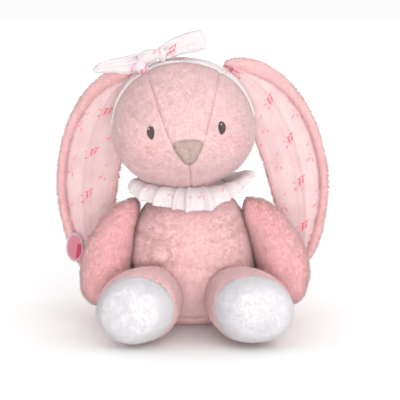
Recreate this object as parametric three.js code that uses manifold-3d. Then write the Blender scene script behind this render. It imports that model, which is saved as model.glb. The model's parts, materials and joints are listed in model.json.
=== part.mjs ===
// A seated plush bunny with a sound module in its belly.
// Millimetres, +Z up. The face looks along -Y and the toy's left side is +X.
// The origin is the middle of the flat base panel that the toy sits on.
import * as THREE from "three";
import { mergeVertices } from "three/addons/utils/BufferGeometryUtils.js";
import Module from "manifold-3d";

const wasm = await Module();
wasm.setup();

// ---- driving dimensions ----
const GAP = 0.4; // left between pieces that touch
const COVER = 1.8; // plush cloth, with its pile pressed flat
const FAR = 400; // longer than the toy, for cutting blocks
const AROUND = 16; // facets round a stuffed piece
const ALONG = 10; // facets along a stuffed piece

const TORSO_TOP = 118;
const TORSO_DEPTH_RATIO = 0.85; // depth over width
const TORSO_PROFILE = [
  [38, 0],
  [53, 9],
  [62, 34],
  [60, 62],
  [51, 91],
  [38, 111],
  [31, TORSO_TOP],
];

const COLLAR = {
  inner: 34,
  outer: 61,
  top: 120.5,
  edge: 108,
  thickness: 4,
  shoulderRise: 22,
  depthRatio: 0.95,
};

const HEAD_CENTRE = new THREE.Vector3(-4.5, -6, 180.5);
const HEAD_RADII = new THREE.Vector3(65.5, 58, 62);
const HEAD_ROLL = -3.5; // the head leans a little to the toy's right
const EYE = { x: 30.5, z: 181 };
const NOSE_HEIGHT = 165;
const NECK_PIVOT = new THREE.Vector3(0, 0, 132);
const NECK_RADIUS = 19;
const NECK_OPENING = 26;
const NECK_TOP = 136;

const GUSSET_TIP = 166; // height where the centre panel of the face runs out
const GUSSET_HALF_TIP = 12;
const GUSSET_HALF_TOP = 37;

const HEADBAND = { front: -24, back: -7, bottom: 182, proud: 2.2 };
const BOW_KNOT = [-31, -16, 243];
const BOW_LOOPS = {
  left: [
    [-23.5, -16, 244.5],
    [-8, -15, 251.5],
    [6, -14, 256],
    [18.5, -13, 259],
  ],
  right: [
    [-38.5, -16, 241],
    [-51.5, -16, 239],
    [-65, -15, 238.5],
    [-77, -14, 236],
  ],
};
const LABEL = { x: -117, y: 51.5, z: 62, halfWidth: 8, halfHeight: 14, thickness: 1 };

const EAR_PATH = [
  [36, 11, 231],
  [64, 20, 211],
  [86, 34, 174],
  [99, 47, 131],
  [103, 54, 86],
  [102, 57, 52],
  [99, 58, 33],
];
const EAR_HINGE = new THREE.Vector3(44, 12, 230);
const EAR_LIFT = 45;
const EAR_BACK_HALF = 2.2;
const EAR_LINING_HALF = 1.3;
const EAR_RIM = 9; // plush showing outside the lining

const ARM_PATHS = {
  left: [
    [36, 1, 108],
    [60, -5, 96],
    [80, -18, 64],
    [88, -32, 17],
  ],
  right: [
    [-36, 1, 107],
    [-57, -5, 95],
    [-75, -18, 63],
    [-81, -32, 16],
  ],
};
const ARM_HINGE = new THREE.Vector3(50, 0, 101);
const ARM_LIFT = 45;
const LEG_PATHS = {
  left: [
    [27, -10, 33],
    [37, -55, 31],
    [54, -98, 33],
    [61, -127, 33.5],
  ],
  right: [
    [-25, -10, 33],
    [-33, -55, 31],
    [-47, -98, 33],
    [-53, -127, 33.5],
  ],
};
const LEG_HINGE = new THREE.Vector3(0, -43, 54);
const LEG_LIFT = 25;
const SOLE_SEAM = -103; // where the sole's panel meets the upper
const FOOT_LIFT = 0.6; // clearance over the floor

const CASE = { width: 56, height: 44, depth: 26, wall: 1.8, y: 12, z: 64 };
const BUTTON = { x: 17, radius: 7, travel: 1.5 };
const SPEAKER = { x: -9, radius: 15 };
const CELL = { radius: 5.8, length: 5.4, count: 3, z: -6 };
const DOOR = { width: 34, height: 17, thickness: 1.4, screwX: 14 };
const BOARD = { front: -3.2, back: -2 };
const SWITCH = { half: 3, body: 1.6, height: 2.2 };
const SCREW = { radius: 1.1, head: 2.1, headHeight: 1.3, length: 16 };
const SCREW_PLACES = [
  [-22.5, 16.5],
  [22.5, -16.5],
];

const BAG = { x: 38, y: 30, z: 13, height: 18 };
const TAIL = { radius: 13, y: 54, z: 17 };
const OPENING = { halfWidth: 19, bottom: 42, top: 84 };
const FLAP = { halfWidth: 25, bottom: 32, top: 89 };
const STRIP = { halfWidth: 20, bottom: 34, top: 40 };

const ACROSS = new THREE.Vector3(0, 1, 0);

const PINK = 0xe9b4b1;
const PALE_PINK = 0xf0cccb;
const DEEP_PINK = 0xe2a3a0;
const MUSLIN = 0xf8eeea;
const WHITE_PILE = 0xf1eff1;
const FIBRE = 0xf7f5f0;

// ---- joining, cutting and shaping ----
function solidFrom(positions, triangles) {
  const mesh = new wasm.Mesh({ numProp: 3, vertProperties: positions, triVerts: triangles });
  return new wasm.Manifold(mesh);
}

function solid(geometry) {
  const bare = geometry.clone();
  bare.deleteAttribute("normal");
  bare.deleteAttribute("uv");
  const merged = mergeVertices(bare, 1e-3);
  const positions = new Float32Array(merged.getAttribute("position").array);
  const triangles = new Uint32Array(merged.index.array);
  const made = solidFrom(positions, triangles);
  if (made.volume() > 0) return made;
  for (let i = 0; i < triangles.length; i += 3) {
    const second = triangles[i + 1];
    triangles[i + 1] = triangles[i + 2];
    triangles[i + 2] = second;
  }
  return solidFrom(positions, triangles);
}

function geometryOf(made) {
  const mesh = made.getMesh();
  const geometry = new THREE.BufferGeometry();
  geometry.setAttribute("position", new THREE.BufferAttribute(mesh.vertProperties, 3));
  geometry.setIndex(new THREE.BufferAttribute(mesh.triVerts, 1));
  geometry.computeVertexNormals();
  return geometry;
}

function block(low, high) {
  const size = high.map((value, axis) => value - low[axis]);
  const geometry = new THREE.BoxGeometry(...size);
  geometry.translate(...low.map((value, axis) => value + size[axis] / 2));
  return solid(geometry);
}

// A cylinder, or a cone frustum, between two points along +Y.
function rod(radius, from, to, sides = 20, endRadius = radius) {
  const length = to[1] - from[1];
  const geometry = new THREE.CylinderGeometry(endRadius, radius, length, sides);
  geometry.translate(from[0], from[1] + length / 2, from[2]);
  return solid(geometry);
}

function roundedPlate(width, height, corner, from, to) {
  const outline = new THREE.Shape();
  const x = width / 2 - corner;
  const z = height / 2 - corner;
  outline.absarc(x, z, corner, 0, Math.PI / 2);
  outline.absarc(-x, z, corner, Math.PI / 2, Math.PI);
  outline.absarc(-x, -z, corner, Math.PI, 1.5 * Math.PI);
  outline.absarc(x, -z, corner, 1.5 * Math.PI, 2 * Math.PI);
  const depth = to - from;
  const options = { depth, bevelEnabled: false, curveSegments: 4 };
  const geometry = new THREE.ExtrudeGeometry(outline, options);
  geometry.rotateX(Math.PI / 2);
  geometry.translate(0, to, 0);
  return solid(geometry);
}

// Turns a solid about a line through a point, in degrees.
function turned(made, point, axis, degrees) {
  const matrix = new THREE.Matrix4().makeTranslation(point);
  const spin = new THREE.Matrix4().makeRotationAxis(axis, THREE.MathUtils.degToRad(degrees));
  const back = new THREE.Matrix4().makeTranslation(point.clone().negate());
  matrix.multiply(spin).multiply(back);
  return made.transform(matrix.elements);
}

// What a neighbour sweeps, seen from a piece that turns by 0 to `range` degrees about a hinge.
function swept(neighbour, hinge, axis, range, steps = 5) {
  let all = neighbour;
  for (let step = 1; step <= steps; step += 1) {
    all = all.add(turned(neighbour, hinge, axis, (-range * step) / steps));
  }
  return all;
}

// A smooth value along a piece, from evenly spaced sizes.
function along(...sizes) {
  const curve = new THREE.SplineCurve(sizes.map((size, i) => new THREE.Vector2(i, size)));
  return (t) => curve.getPoint(t).y;
}

// A stuffed or flat piece that follows a path. Its ends close with a radius set by `blunt`.
function limb({ path, width, thickness, facing, blunt = 0.5, shift = 0, shrink = 0 }) {
  const curve = new THREE.CatmullRomCurve3(path.map((point) => new THREE.Vector3(...point)));
  const geometry = new THREE.SphereGeometry(1, AROUND, ALONG);
  const position = geometry.getAttribute("position");
  const vertex = new THREE.Vector3();
  for (let i = 0; i < position.count; i += 1) {
    vertex.fromBufferAttribute(position, i);
    const t = THREE.MathUtils.clamp((1 - vertex.y) / 2, 0, 1);
    const ring = Math.hypot(vertex.x, vertex.z);
    const round = ring < 1e-6 ? 0 : ring ** blunt / ring;
    const tangent = curve.getTangentAt(t);
    const side = new THREE.Vector3().crossVectors(tangent, facing).normalize();
    const out = new THREE.Vector3().crossVectors(side, tangent).normalize();
    const place = curve.getPointAt(t);
    place.addScaledVector(tangent, shrink * vertex.y);
    place.addScaledVector(side, vertex.x * round * (width(t) - shrink));
    place.addScaledVector(out, vertex.z * round * (thickness(t) - shrink) + shift);
    position.setXYZ(i, place.x, place.y, place.z);
  }
  return solid(geometry);
}

function mirrored(point, sign) {
  return [point[0] * sign, point[1], point[2]];
}

// ---- the toy's main shapes ----
// The torso grown by `offset` all round, and made longer by `extra` at its two ends.
function torsoSolid(offset, extra = 0) {
  const spline = new THREE.SplineCurve(TORSO_PROFILE.map((p) => new THREE.Vector2(...p)));
  const wall = spline.getPoints(10).map((p) => new THREE.Vector2(p.x + offset, p.y));
  const bottom = wall[0].clone().setY(-extra);
  const top = wall[wall.length - 1].clone().setY(TORSO_TOP + extra);
  const ends = extra > 0 ? [bottom, ...wall, top] : wall;
  const profile = [bottom.clone().setX(0), ...ends, top.clone().setX(0)];
  const geometry = new THREE.LatheGeometry(profile, 24);
  geometry.rotateX(Math.PI / 2);
  geometry.scale(1, TORSO_DEPTH_RATIO, 1);
  return solid(geometry);
}

function headSolid(offset) {
  const geometry = new THREE.SphereGeometry(1, 20, 14);
  geometry.rotateX(Math.PI / 2);
  const { x, y, z } = HEAD_RADII;
  geometry.scale(x + offset, y + offset, z + offset);
  geometry.translate(...HEAD_CENTRE);
  return solid(geometry);
}

function halfSpaceX(sign, from) {
  const low = sign > 0 ? from : -FAR;
  const high = sign > 0 ? FAR : -from;
  return block([low, -FAR, -FAR], [high, FAR, FAR]);
}

// ---- torso ----
function torsoCovers() {
  const opening = block(
    [-OPENING.halfWidth, 0, OPENING.bottom],
    [OPENING.halfWidth, FAR, OPENING.top],
  );
  const shell = torsoSolid(0).subtract(torsoSolid(-COVER, 1));
  const front = shell.intersect(block([-FAR, -FAR, -FAR], [FAR, -GAP / 2, FAR]));
  const back = shell.intersect(block([-FAR, GAP / 2, -FAR], [FAR, FAR, FAR]));
  return { front, back: back.subtract(opening) };
}

function basePanel() {
  const geometry = new THREE.CylinderGeometry(1, 1, 2.4, 24);
  geometry.rotateX(Math.PI / 2);
  const radius = TORSO_PROFILE[0][0] - COVER - GAP;
  geometry.scale(radius, radius * TORSO_DEPTH_RATIO, 1);
  geometry.translate(0, 0, 1.2);
  return solid(geometry);
}

function pelletBag(offset) {
  const geometry = new THREE.SphereGeometry(1, 20, 12);
  geometry.rotateX(Math.PI / 2);
  geometry.scale(BAG.x + offset, BAG.y + offset, BAG.z + offset);
  geometry.translate(0, 0, BAG.height);
  return solid(geometry);
}

function moduleBlock(margin) {
  const x = CASE.width / 2 + margin;
  const y = CASE.depth / 2 + margin;
  const z = CASE.height / 2 + margin;
  return { low: [-x, CASE.y - y, CASE.z - z], high: [x, CASE.y + y, CASE.z + z] };
}

function torsoStuffing() {
  const { low, high } = moduleBlock(3);
  const pocket = block([low[0], low[1] - 3, low[2]], [high[0], FAR, high[2]]);
  const bagWay = block([-3, -3, -1], [3, 3, 12]);
  return torsoSolid(-COVER - GAP)
    .intersect(block([-FAR, -FAR, 4], [FAR, FAR, TORSO_TOP - GAP]))
    .subtract(pocket)
    .subtract(pelletBag(GAP))
    .subtract(bagWay);
}

// The frill slopes down in front and lies higher where the shoulders carry it.
function collarShape(margin) {
  const { inner, outer, top, edge, thickness, shoulderRise, depthRatio } = COLLAR;
  const under = thickness + margin;
  const profile = [
    [inner, top + margin],
    [outer - 3, edge + thickness + margin],
    [outer + margin, edge - margin],
    [outer - 3, edge - margin],
    [inner, top - under],
  ].map((p) => new THREE.Vector2(...p));
  const geometry = new THREE.LatheGeometry([...profile, profile[0].clone()], 24);
  geometry.rotateX(Math.PI / 2);
  const position = geometry.getAttribute("position");
  for (let i = 0; i < position.count; i += 1) {
    const x = position.getX(i);
    const y = position.getY(i);
    const reach = (Math.hypot(x, y) - inner) / (outer - inner);
    const rise = shoulderRise * reach * (x / outer) ** 2;
    position.setXYZ(i, x, y * depthRatio, position.getZ(i) + rise);
  }
  return solid(geometry);
}

function ruffleCollar() {
  return collarShape(0).subtract(torsoSolid(GAP, 3));
}

function tail() {
  const geometry = new THREE.SphereGeometry(TAIL.radius, 12, 8);
  geometry.translate(0, TAIL.y, TAIL.z);
  return solid(geometry).subtract(torsoSolid(GAP));
}

function backPatch(inner, outer, halfWidth, bottom, top) {
  const skin = torsoSolid(outer).subtract(torsoSolid(inner, 1));
  return skin.intersect(block([-halfWidth, 0, bottom], [halfWidth, FAR, top]));
}

// ---- sound module, built round its own centre and then moved into the belly ----
function inCase(made) {
  return made.translate(0, CASE.y, CASE.z);
}

function screwSolid(headRadius, shankRadius, from, length, x, z, headHeight) {
  const head = rod(headRadius, [x, from - headHeight, z], [x, from, z], 12);
  return head.add(rod(shankRadius, [x, from - length, z], [x, from - headHeight / 2, z], 10));
}

function caseScrew([x, z]) {
  const back = CASE.depth / 2;
  return screwSolid(SCREW.head, SCREW.radius, back, SCREW.length, x, z, SCREW.headHeight);
}

function screwHole([x, z]) {
  const back = CASE.depth / 2 + 1;
  const clear = SCREW.headHeight + 1 + GAP;
  const length = SCREW.length + 1 + GAP;
  return screwSolid(SCREW.head + GAP, SCREW.radius + GAP, back, length, x, z, clear);
}

function caseHalf(front) {
  const { width, height, depth, wall } = CASE;
  const half = depth / 2;
  const from = front ? -half : GAP / 2;
  const to = front ? -GAP / 2 : half;
  const outer = roundedPlate(width, height, 5, from, to);
  const hollow = front
    ? roundedPlate(width - 2 * wall, height - 2 * wall, 3.5, from + wall, to + 1)
    : roundedPlate(width - 2 * wall, height - 2 * wall, 3.5, from - 1, to - wall);
  let made = outer.subtract(hollow);
  for (const [x, z] of SCREW_PLACES) {
    made = made.add(rod(3, [x, from + 0.01, z], [x, to - 0.01, z], 12));
  }
  for (const place of SCREW_PLACES) made = made.subtract(screwHole(place));
  return made;
}

function caseFront() {
  const face = -CASE.depth / 2;
  let made = caseHalf(true);
  const through = [BUTTON.x, face + 3, 0];
  made = made.subtract(rod(BUTTON.radius + GAP, [BUTTON.x, face - 1, 0], through, 24));
  const slots = 5;
  for (let slot = 0; slot < slots; slot += 1) {
    const z = (slot - (slots - 1) / 2) * 4.4;
    const reach = Math.sqrt((SPEAKER.radius - 4) ** 2 - z ** 2);
    const low = [SPEAKER.x - reach, face - 1, z - 1];
    made = made.subtract(block(low, [SPEAKER.x + reach, face + 3, z + 1]));
  }
  return made;
}

function doorPlate(margin) {
  const to = CASE.depth / 2;
  const from = to - DOOR.thickness - margin / 2;
  const plate = roundedPlate(DOOR.width + margin, DOOR.height + margin, 2, from, to);
  return plate.translate(0, 0, CELL.z);
}

function batteryDoor() {
  const back = CASE.depth / 2 + 1;
  const hole = screwSolid(1.9 + GAP, 1 + GAP, back, 6, DOOR.screwX, CELL.z, 1.6);
  return doorPlate(0).subtract(hole);
}

function doorScrew() {
  const back = CASE.depth / 2;
  return screwSolid(1.9, 1, back, 5.5, DOOR.screwX, CELL.z, 0.6);
}

function caseRear() {
  const back = CASE.depth / 2;
  const bayHalf = (CELL.count * (CELL.length + GAP)) / 2 + 3.4;
  const bay = block([-bayHalf - 3, 0, CELL.z - 6.6], [bayHalf - 3, back + 1, CELL.z + 6.6]);
  const frame = roundedPlate(DOOR.width + 5, DOOR.height + 5, 2.5, back - 6, back - 0.1);
  const seat = doorPlate(2 * GAP);
  const screwWay = rod(1 + GAP, [DOOR.screwX, 6.5, CELL.z], [DOOR.screwX, back + 1, CELL.z], 12);
  const framed = caseHalf(false).add(frame.translate(0, 0, CELL.z));
  return framed.subtract(bay).subtract(seat).subtract(screwWay);
}

function cells() {
  const pitch = CELL.length + GAP;
  const made = [];
  for (let index = 0; index < CELL.count; index += 1) {
    const geometry = new THREE.CylinderGeometry(CELL.radius, CELL.radius, CELL.length, 20);
    geometry.rotateZ(Math.PI / 2);
    geometry.translate(-3 + (index - (CELL.count - 1) / 2) * pitch, 5.4, CELL.z);
    made.push(solid(geometry));
  }
  return made;
}

function coil(radius, wire, length, turns, sides = 3, stepsPerTurn = 8) {
  const steps = turns * stepsPerTurn;
  const points = [];
  for (let step = 0; step <= steps; step += 1) {
    const angle = (step / stepsPerTurn) * 2 * Math.PI;
    const x = radius * Math.cos(angle);
    const z = radius * Math.sin(angle);
    points.push(new THREE.Vector3(x, (length * step) / steps, z));
  }
  const section = new THREE.Shape();
  section.absarc(0, 0, wire, 0, 2 * Math.PI);
  const extrudePath = new THREE.CatmullRomCurve3(points);
  const options = { steps, extrudePath, curveSegments: sides, bevelEnabled: false };
  return solid(new THREE.ExtrudeGeometry(section, options));
}

function pressButton() {
  const { x, radius, travel } = BUTTON;
  const face = -CASE.depth / 2;
  const inner = face + CASE.wall;
  const end = BOARD.front - SWITCH.height - travel - GAP;
  const cap = rod(radius - 1, [x, face - 3, 0], [x, face - 2, 0], 24, radius);
  const body = rod(radius, [x, face - 2.01, 0], [x, inner + 1, 0], 24);
  const flange = rod(radius + 1.6, [x, inner + GAP, 0], [x, inner + 1.4, 0], 24);
  const stem = rod(1.6, [x, inner + 1, 0], [x, end, 0], 12);
  return cap.add(body).add(flange).add(stem);
}

function buttonSpring() {
  const from = -CASE.depth / 2 + CASE.wall + 1.4 + GAP;
  const wire = 0.35;
  const length = BOARD.front - GAP - from - 2 * wire;
  return coil(4.6, wire, length, 3).translate(BUTTON.x, from + wire, 0);
}

function speakerParts() {
  const inner = -CASE.depth / 2 + CASE.wall + GAP;
  const { x, radius } = SPEAKER;
  const ring = rod(radius, [x, inner, 0], [x, inner + 1.2, 0]);
  const basket = rod(radius - 1, [x, inner + 1.1, 0], [x, inner + 4, 0], 20, 8);
  const hollow = rod(radius - 2.5, [x, inner - 1, 0], [x, inner + 3, 0], 20, 6.5);
  const back = rod(4, [x, inner, 0], [x, inner + 5, 0], 20);
  const frame = ring.add(basket).subtract(hollow).subtract(back);
  const cone = rod(radius - 5.4, [x, inner + 0.4, 0], [x, inner + 2.2, 0], 20, 5.5);
  const dish = rod(radius - 6, [x, inner - 0.4, 0], [x, inner + 1.2, 0], 20, 3.5);
  const magnet = rod(6.5, [x, inner + 4 + GAP, 0], [x, BOARD.front - GAP, 0], 20);
  return { frame, cone: cone.subtract(dish), magnet };
}

function circuitBoard() {
  const width = CASE.width - 2 * CASE.wall - 1;
  const height = CASE.height - 2 * CASE.wall - 1;
  let made = roundedPlate(width, height, 3, BOARD.front, BOARD.back);
  for (const [x, z] of SCREW_PLACES) {
    made = made.subtract(rod(3 + GAP, [x, BOARD.front - 1, z], [x, BOARD.back + 1, z], 16));
  }
  const chip = block([-24, BOARD.back - 0.1, 1], [-14, -GAP, 9]);
  return made.add(chip);
}

function pushSwitch() {
  const x = BUTTON.x;
  const { half, body, height } = SWITCH;
  const seat = BOARD.front - GAP / 2;
  const box = block([x - half, seat - body, -half], [x + half, seat, half]);
  const plunger = rod(1.5, [x, BOARD.front - height, 0], [x, BOARD.front - body, 0], 12);
  return box.add(plunger);
}

function batteryContacts() {
  const stack = (CELL.count * (CELL.length + GAP)) / 2;
  const flatX = -3 + stack + GAP;
  const flat = block([flatX, 1.5, CELL.z - 4], [flatX + 0.5, 9, CELL.z + 4]);
  const spring = coil(3, 0.3, 1.6, 2).rotate([0, 0, 90]);
  return { flat, spring: spring.translate(-3 - stack - GAP - 0.4, 5.4, CELL.z) };
}

function modulePouch() {
  const { low, high } = moduleBlock(1.6);
  const inside = moduleBlock(GAP);
  const front = low[1] - 3.4;
  const bag = block([low[0], front, low[2]], [high[0], high[1], high[2]]);
  const room = block(
    [inside.low[0], front + 1.2, inside.low[2]],
    [inside.high[0], FAR, inside.high[2]],
  );
  return bag.subtract(room);
}

// ---- head, in its own frame before it leans ----
function gussetPrism(margin) {
  const outline = new THREE.Shape();
  const tip = GUSSET_HALF_TIP + margin;
  const top = GUSSET_HALF_TOP + margin;
  outline.moveTo(-tip, GUSSET_TIP - margin);
  outline.lineTo(tip, GUSSET_TIP - margin);
  outline.lineTo(top, HEAD_CENTRE.z + HEAD_RADII.z + 5);
  outline.lineTo(-top, HEAD_CENTRE.z + HEAD_RADII.z + 5);
  outline.closePath();
  const geometry = new THREE.ExtrudeGeometry(outline, { depth: FAR, bevelEnabled: false });
  geometry.rotateX(Math.PI / 2);
  geometry.translate(0, FAR / 2, 0);
  return solid(geometry);
}

function neckHole(radius, top) {
  const geometry = new THREE.CylinderGeometry(radius, radius, top - 60, 24);
  geometry.rotateX(Math.PI / 2);
  geometry.translate(0, 0, (top + 60) / 2);
  return solid(geometry);
}

function headPanels() {
  const shell = headSolid(0).subtract(headSolid(-COVER)).subtract(neckHole(NECK_OPENING, 144));
  const sides = shell.subtract(gussetPrism(GAP));
  return {
    centre: shell.intersect(gussetPrism(0)),
    left: sides.intersect(halfSpaceX(1, GAP / 2)),
    right: sides.intersect(halfSpaceX(-1, GAP / 2)),
  };
}

function headStuffing() {
  return headSolid(-COVER - GAP).subtract(neckHole(NECK_RADIUS + 5, 144));
}

// A thin patch on the face: the outline, given about a point, pressed onto the head.
function facePatch(outline, x, z, thickness) {
  const options = { depth: FAR, bevelEnabled: false, curveSegments: 5 };
  const geometry = new THREE.ExtrudeGeometry(outline, options);
  geometry.rotateX(Math.PI / 2);
  geometry.translate(x, HEAD_CENTRE.y, z);
  return headSolid(GAP + thickness).subtract(headSolid(GAP)).intersect(solid(geometry));
}

function eyeOutline(sign) {
  const outline = new THREE.Shape();
  outline.moveTo(sign * -1.2, -6.2);
  outline.quadraticCurveTo(sign * 4.6, -2.6, sign * 3.4, 2.4);
  outline.quadraticCurveTo(sign * 1.6, 6.4, sign * -1.6, 5.2);
  outline.quadraticCurveTo(sign * -5.4, 1.6, sign * -1.2, -6.2);
  return outline;
}

function noseOutline() {
  const outline = new THREE.Shape();
  outline.moveTo(0, -10.5);
  outline.quadraticCurveTo(5, -8, 11.5, 4);
  outline.quadraticCurveTo(12, 8.5, 6, 9.5);
  outline.quadraticCurveTo(0, 10.5, -6, 9.5);
  outline.quadraticCurveTo(-12, 8.5, -11.5, 4);
  outline.quadraticCurveTo(-5, -8, 0, -10.5);
  return outline;
}

function headband() {
  const { front, back, bottom, proud } = HEADBAND;
  const band = headSolid(proud).subtract(headSolid(GAP));
  return band.intersect(block([-FAR, front, bottom], [FAR, back, FAR]));
}

function bowParts() {
  const head = headSolid(HEADBAND.proud + GAP);
  const left = limb({
    path: BOW_LOOPS.left,
    width: along(6, 8, 10, 10),
    thickness: along(4, 5, 5, 4),
    facing: ACROSS,
  });
  const right = limb({
    path: BOW_LOOPS.right,
    width: along(6, 7.5, 6.5, 5),
    thickness: along(4, 5, 5, 4),
    facing: ACROSS,
  });
  const geometry = new THREE.SphereGeometry(1, 16, 10);
  geometry.scale(8, 7, 8);
  geometry.translate(...BOW_KNOT);
  const knot = solid(geometry);
  return {
    knot: knot.subtract(head),
    left: left.subtract(head).subtract(enlarged(knot, BOW_KNOT, 1.06)),
    right: right.subtract(head).subtract(enlarged(knot, BOW_KNOT, 1.06)),
  };
}

function enlarged(made, centre, factor) {
  const [x, y, z] = centre;
  return made.translate(-x, -y, -z).scale(factor).translate(x, y, z);
}

// ---- ears ----
function ear(sign) {
  const hinge = new THREE.Vector3(...mirrored(EAR_HINGE.toArray(), sign));
  const shape = {
    path: EAR_PATH.map((point) => mirrored(point, sign)),
    facing: ACROSS,
    blunt: 0.55,
  };
  const width = along(17, 26, 29, 29, 28, 24, 18);
  const lift = new THREE.Vector3(0, -sign, 0);
  const room = swept(headSolid(GAP), hinge, lift, EAR_LIFT);
  const back = limb({ ...shape, width, thickness: () => EAR_BACK_HALF, shift: EAR_BACK_HALF });
  const lining = limb({
    ...shape,
    width: (t) => width(t) - EAR_RIM,
    thickness: () => EAR_LINING_HALF,
    shift: -EAR_LINING_HALF - GAP,
  });
  return { back: biggest(back.subtract(room)), lining: biggest(lining.subtract(room)) };
}

// The largest separate body of a cut solid, without the slivers beside it.
function biggest(made) {
  const bodies = made.decompose();
  bodies.sort((a, b) => b.volume() - a.volume());
  return bodies[0];
}

function earLabel() {
  const outline = new THREE.Shape();
  outline.absellipse(0, 0, LABEL.halfWidth, LABEL.halfHeight, 0, 2 * Math.PI);
  const options = { depth: LABEL.thickness, bevelEnabled: false, curveSegments: 10 };
  const geometry = new THREE.ExtrudeGeometry(outline, options);
  geometry.rotateX(Math.PI / 2);
  geometry.translate(LABEL.x, LABEL.y, LABEL.z);
  return solid(geometry);
}

// ---- arms and legs ----
function arm(side) {
  const sign = side === "left" ? 1 : -1;
  const hinge = new THREE.Vector3(...mirrored(ARM_HINGE.toArray(), sign));
  const lift = new THREE.Vector3(0, -sign, 0);
  const neighbours = torsoSolid(GAP, 1).add(collarShape(GAP));
  const room = swept(neighbours, hinge, lift, ARM_LIFT);
  const shape = {
    path: ARM_PATHS[side],
    width: along(17, 22, 26, 26),
    thickness: along(16, 20, 23, 24),
    facing: ACROSS,
    blunt: 0.5,
  };
  const outer = limb(shape);
  const inner = limb({ ...shape, shrink: COVER });
  const filling = limb({ ...shape, shrink: COVER + GAP });
  return {
    cover: biggest(outer.subtract(inner).subtract(room)),
    stuffing: biggest(filling.subtract(room)),
  };
}

function leg(side) {
  const hinge = LEG_HINGE;
  const room = swept(torsoSolid(GAP, 1), hinge, new THREE.Vector3(-1, 0, 0), LEG_LIFT);
  const shape = {
    path: LEG_PATHS[side],
    width: along(24, 26, 36, 39),
    thickness: along(25, 28, 33, 35),
    facing: new THREE.Vector3(0, 0, 1),
    blunt: 0.42,
  };
  const outer = limb(shape);
  const inner = limb({ ...shape, shrink: COVER });
  const filling = limb({ ...shape, shrink: COVER + GAP });
  const above = block([-FAR, SOLE_SEAM + GAP / 2, FOOT_LIFT], [FAR, FAR, FAR]);
  const below = block([-FAR, -FAR, FOOT_LIFT], [FAR, SOLE_SEAM - GAP / 2, FAR]);
  const shell = outer.subtract(inner).subtract(room);
  return {
    cover: biggest(shell.intersect(above)),
    sole: biggest(shell.intersect(below)),
    stuffing: biggest(filling.subtract(room)),
  };
}

// ---- assembly ----
const bunny = new THREE.Group();

function add(group, name, made, color, roughness = 0.95, metalness = 0) {
  const material = new THREE.MeshStandardMaterial({ color, roughness, metalness });
  const mesh = new THREE.Mesh(geometryOf(made), material);
  mesh.name = name;
  group.add(mesh);
}

function addTorso(group) {
  const covers = torsoCovers();
  add(group, "torso_front_cover", covers.front, PALE_PINK);
  add(group, "torso_back_cover", covers.back, PALE_PINK);
  add(group, "base_panel", basePanel(), DEEP_PINK);
  add(group, "torso_stuffing", torsoStuffing(), FIBRE);
  add(group, "pellet_bag", pelletBag(0), MUSLIN);
  add(group, "ruffle_collar", ruffleCollar(), MUSLIN);
  add(group, "tail", tail(), PALE_PINK);
  const { halfWidth, bottom, top } = STRIP;
  add(group, "loop_strip", backPatch(0.4, 1.3, halfWidth, bottom, top), WHITE_PILE);
  add(group, "hook_strip", backPatch(2, 2.9, halfWidth, bottom, top), WHITE_PILE);
  const flap = backPatch(3.4, 5, FLAP.halfWidth, FLAP.bottom, FLAP.top);
  add(group, "back_flap", flap, PALE_PINK);
}

function addModule(group) {
  const plastic = 0xf2f2ee;
  const steel = 0xb9bcc0;
  add(group, "module_pouch", modulePouch(), MUSLIN);
  add(group, "module_case_front", inCase(caseFront()), plastic, 0.5);
  add(group, "module_case_rear", inCase(caseRear()), plastic, 0.5);
  add(group, "circuit_board", inCase(circuitBoard()), 0x2c6e49, 0.6);
  add(group, "push_switch", inCase(pushSwitch()), 0x222326, 0.5);
  add(group, "press_button", inCase(pressButton()), 0xd9534f, 0.45);
  add(group, "button_spring", inCase(buttonSpring()), steel, 0.3, 1);
  const speaker = speakerParts();
  add(group, "speaker_frame", inCase(speaker.frame), steel, 0.4, 1);
  add(group, "speaker_cone", inCase(speaker.cone), 0x2a2a2c, 0.8);
  add(group, "speaker_magnet", inCase(speaker.magnet), 0x5c5f63, 0.4, 1);
  cells().forEach((cell, i) => add(group, `button_cell_${i + 1}`, inCase(cell), steel, 0.3, 1));
  const contacts = batteryContacts();
  add(group, "battery_flat_contact", inCase(contacts.flat), steel, 0.3, 1);
  add(group, "battery_spring_contact", inCase(contacts.spring), steel, 0.3, 1);
  add(group, "battery_door", inCase(batteryDoor()), plastic, 0.5);
  add(group, "battery_door_screw", inCase(doorScrew()), steel, 0.3, 1);
  SCREW_PLACES.forEach((place, i) => {
    add(group, `case_screw_${i + 1}`, inCase(caseScrew(place)), steel, 0.3, 1);
  });
}

function neckCore() {
  const outline = [
    [0, TORSO_TOP + GAP],
    [NECK_RADIUS, TORSO_TOP + GAP],
    [NECK_RADIUS, NECK_TOP - 3],
    [NECK_RADIUS - 4, NECK_TOP],
    [0, NECK_TOP],
  ].map((p) => new THREE.Vector2(...p));
  const geometry = new THREE.LatheGeometry(outline, 24);
  geometry.rotateX(Math.PI / 2);
  return solid(geometry);
}

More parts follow.
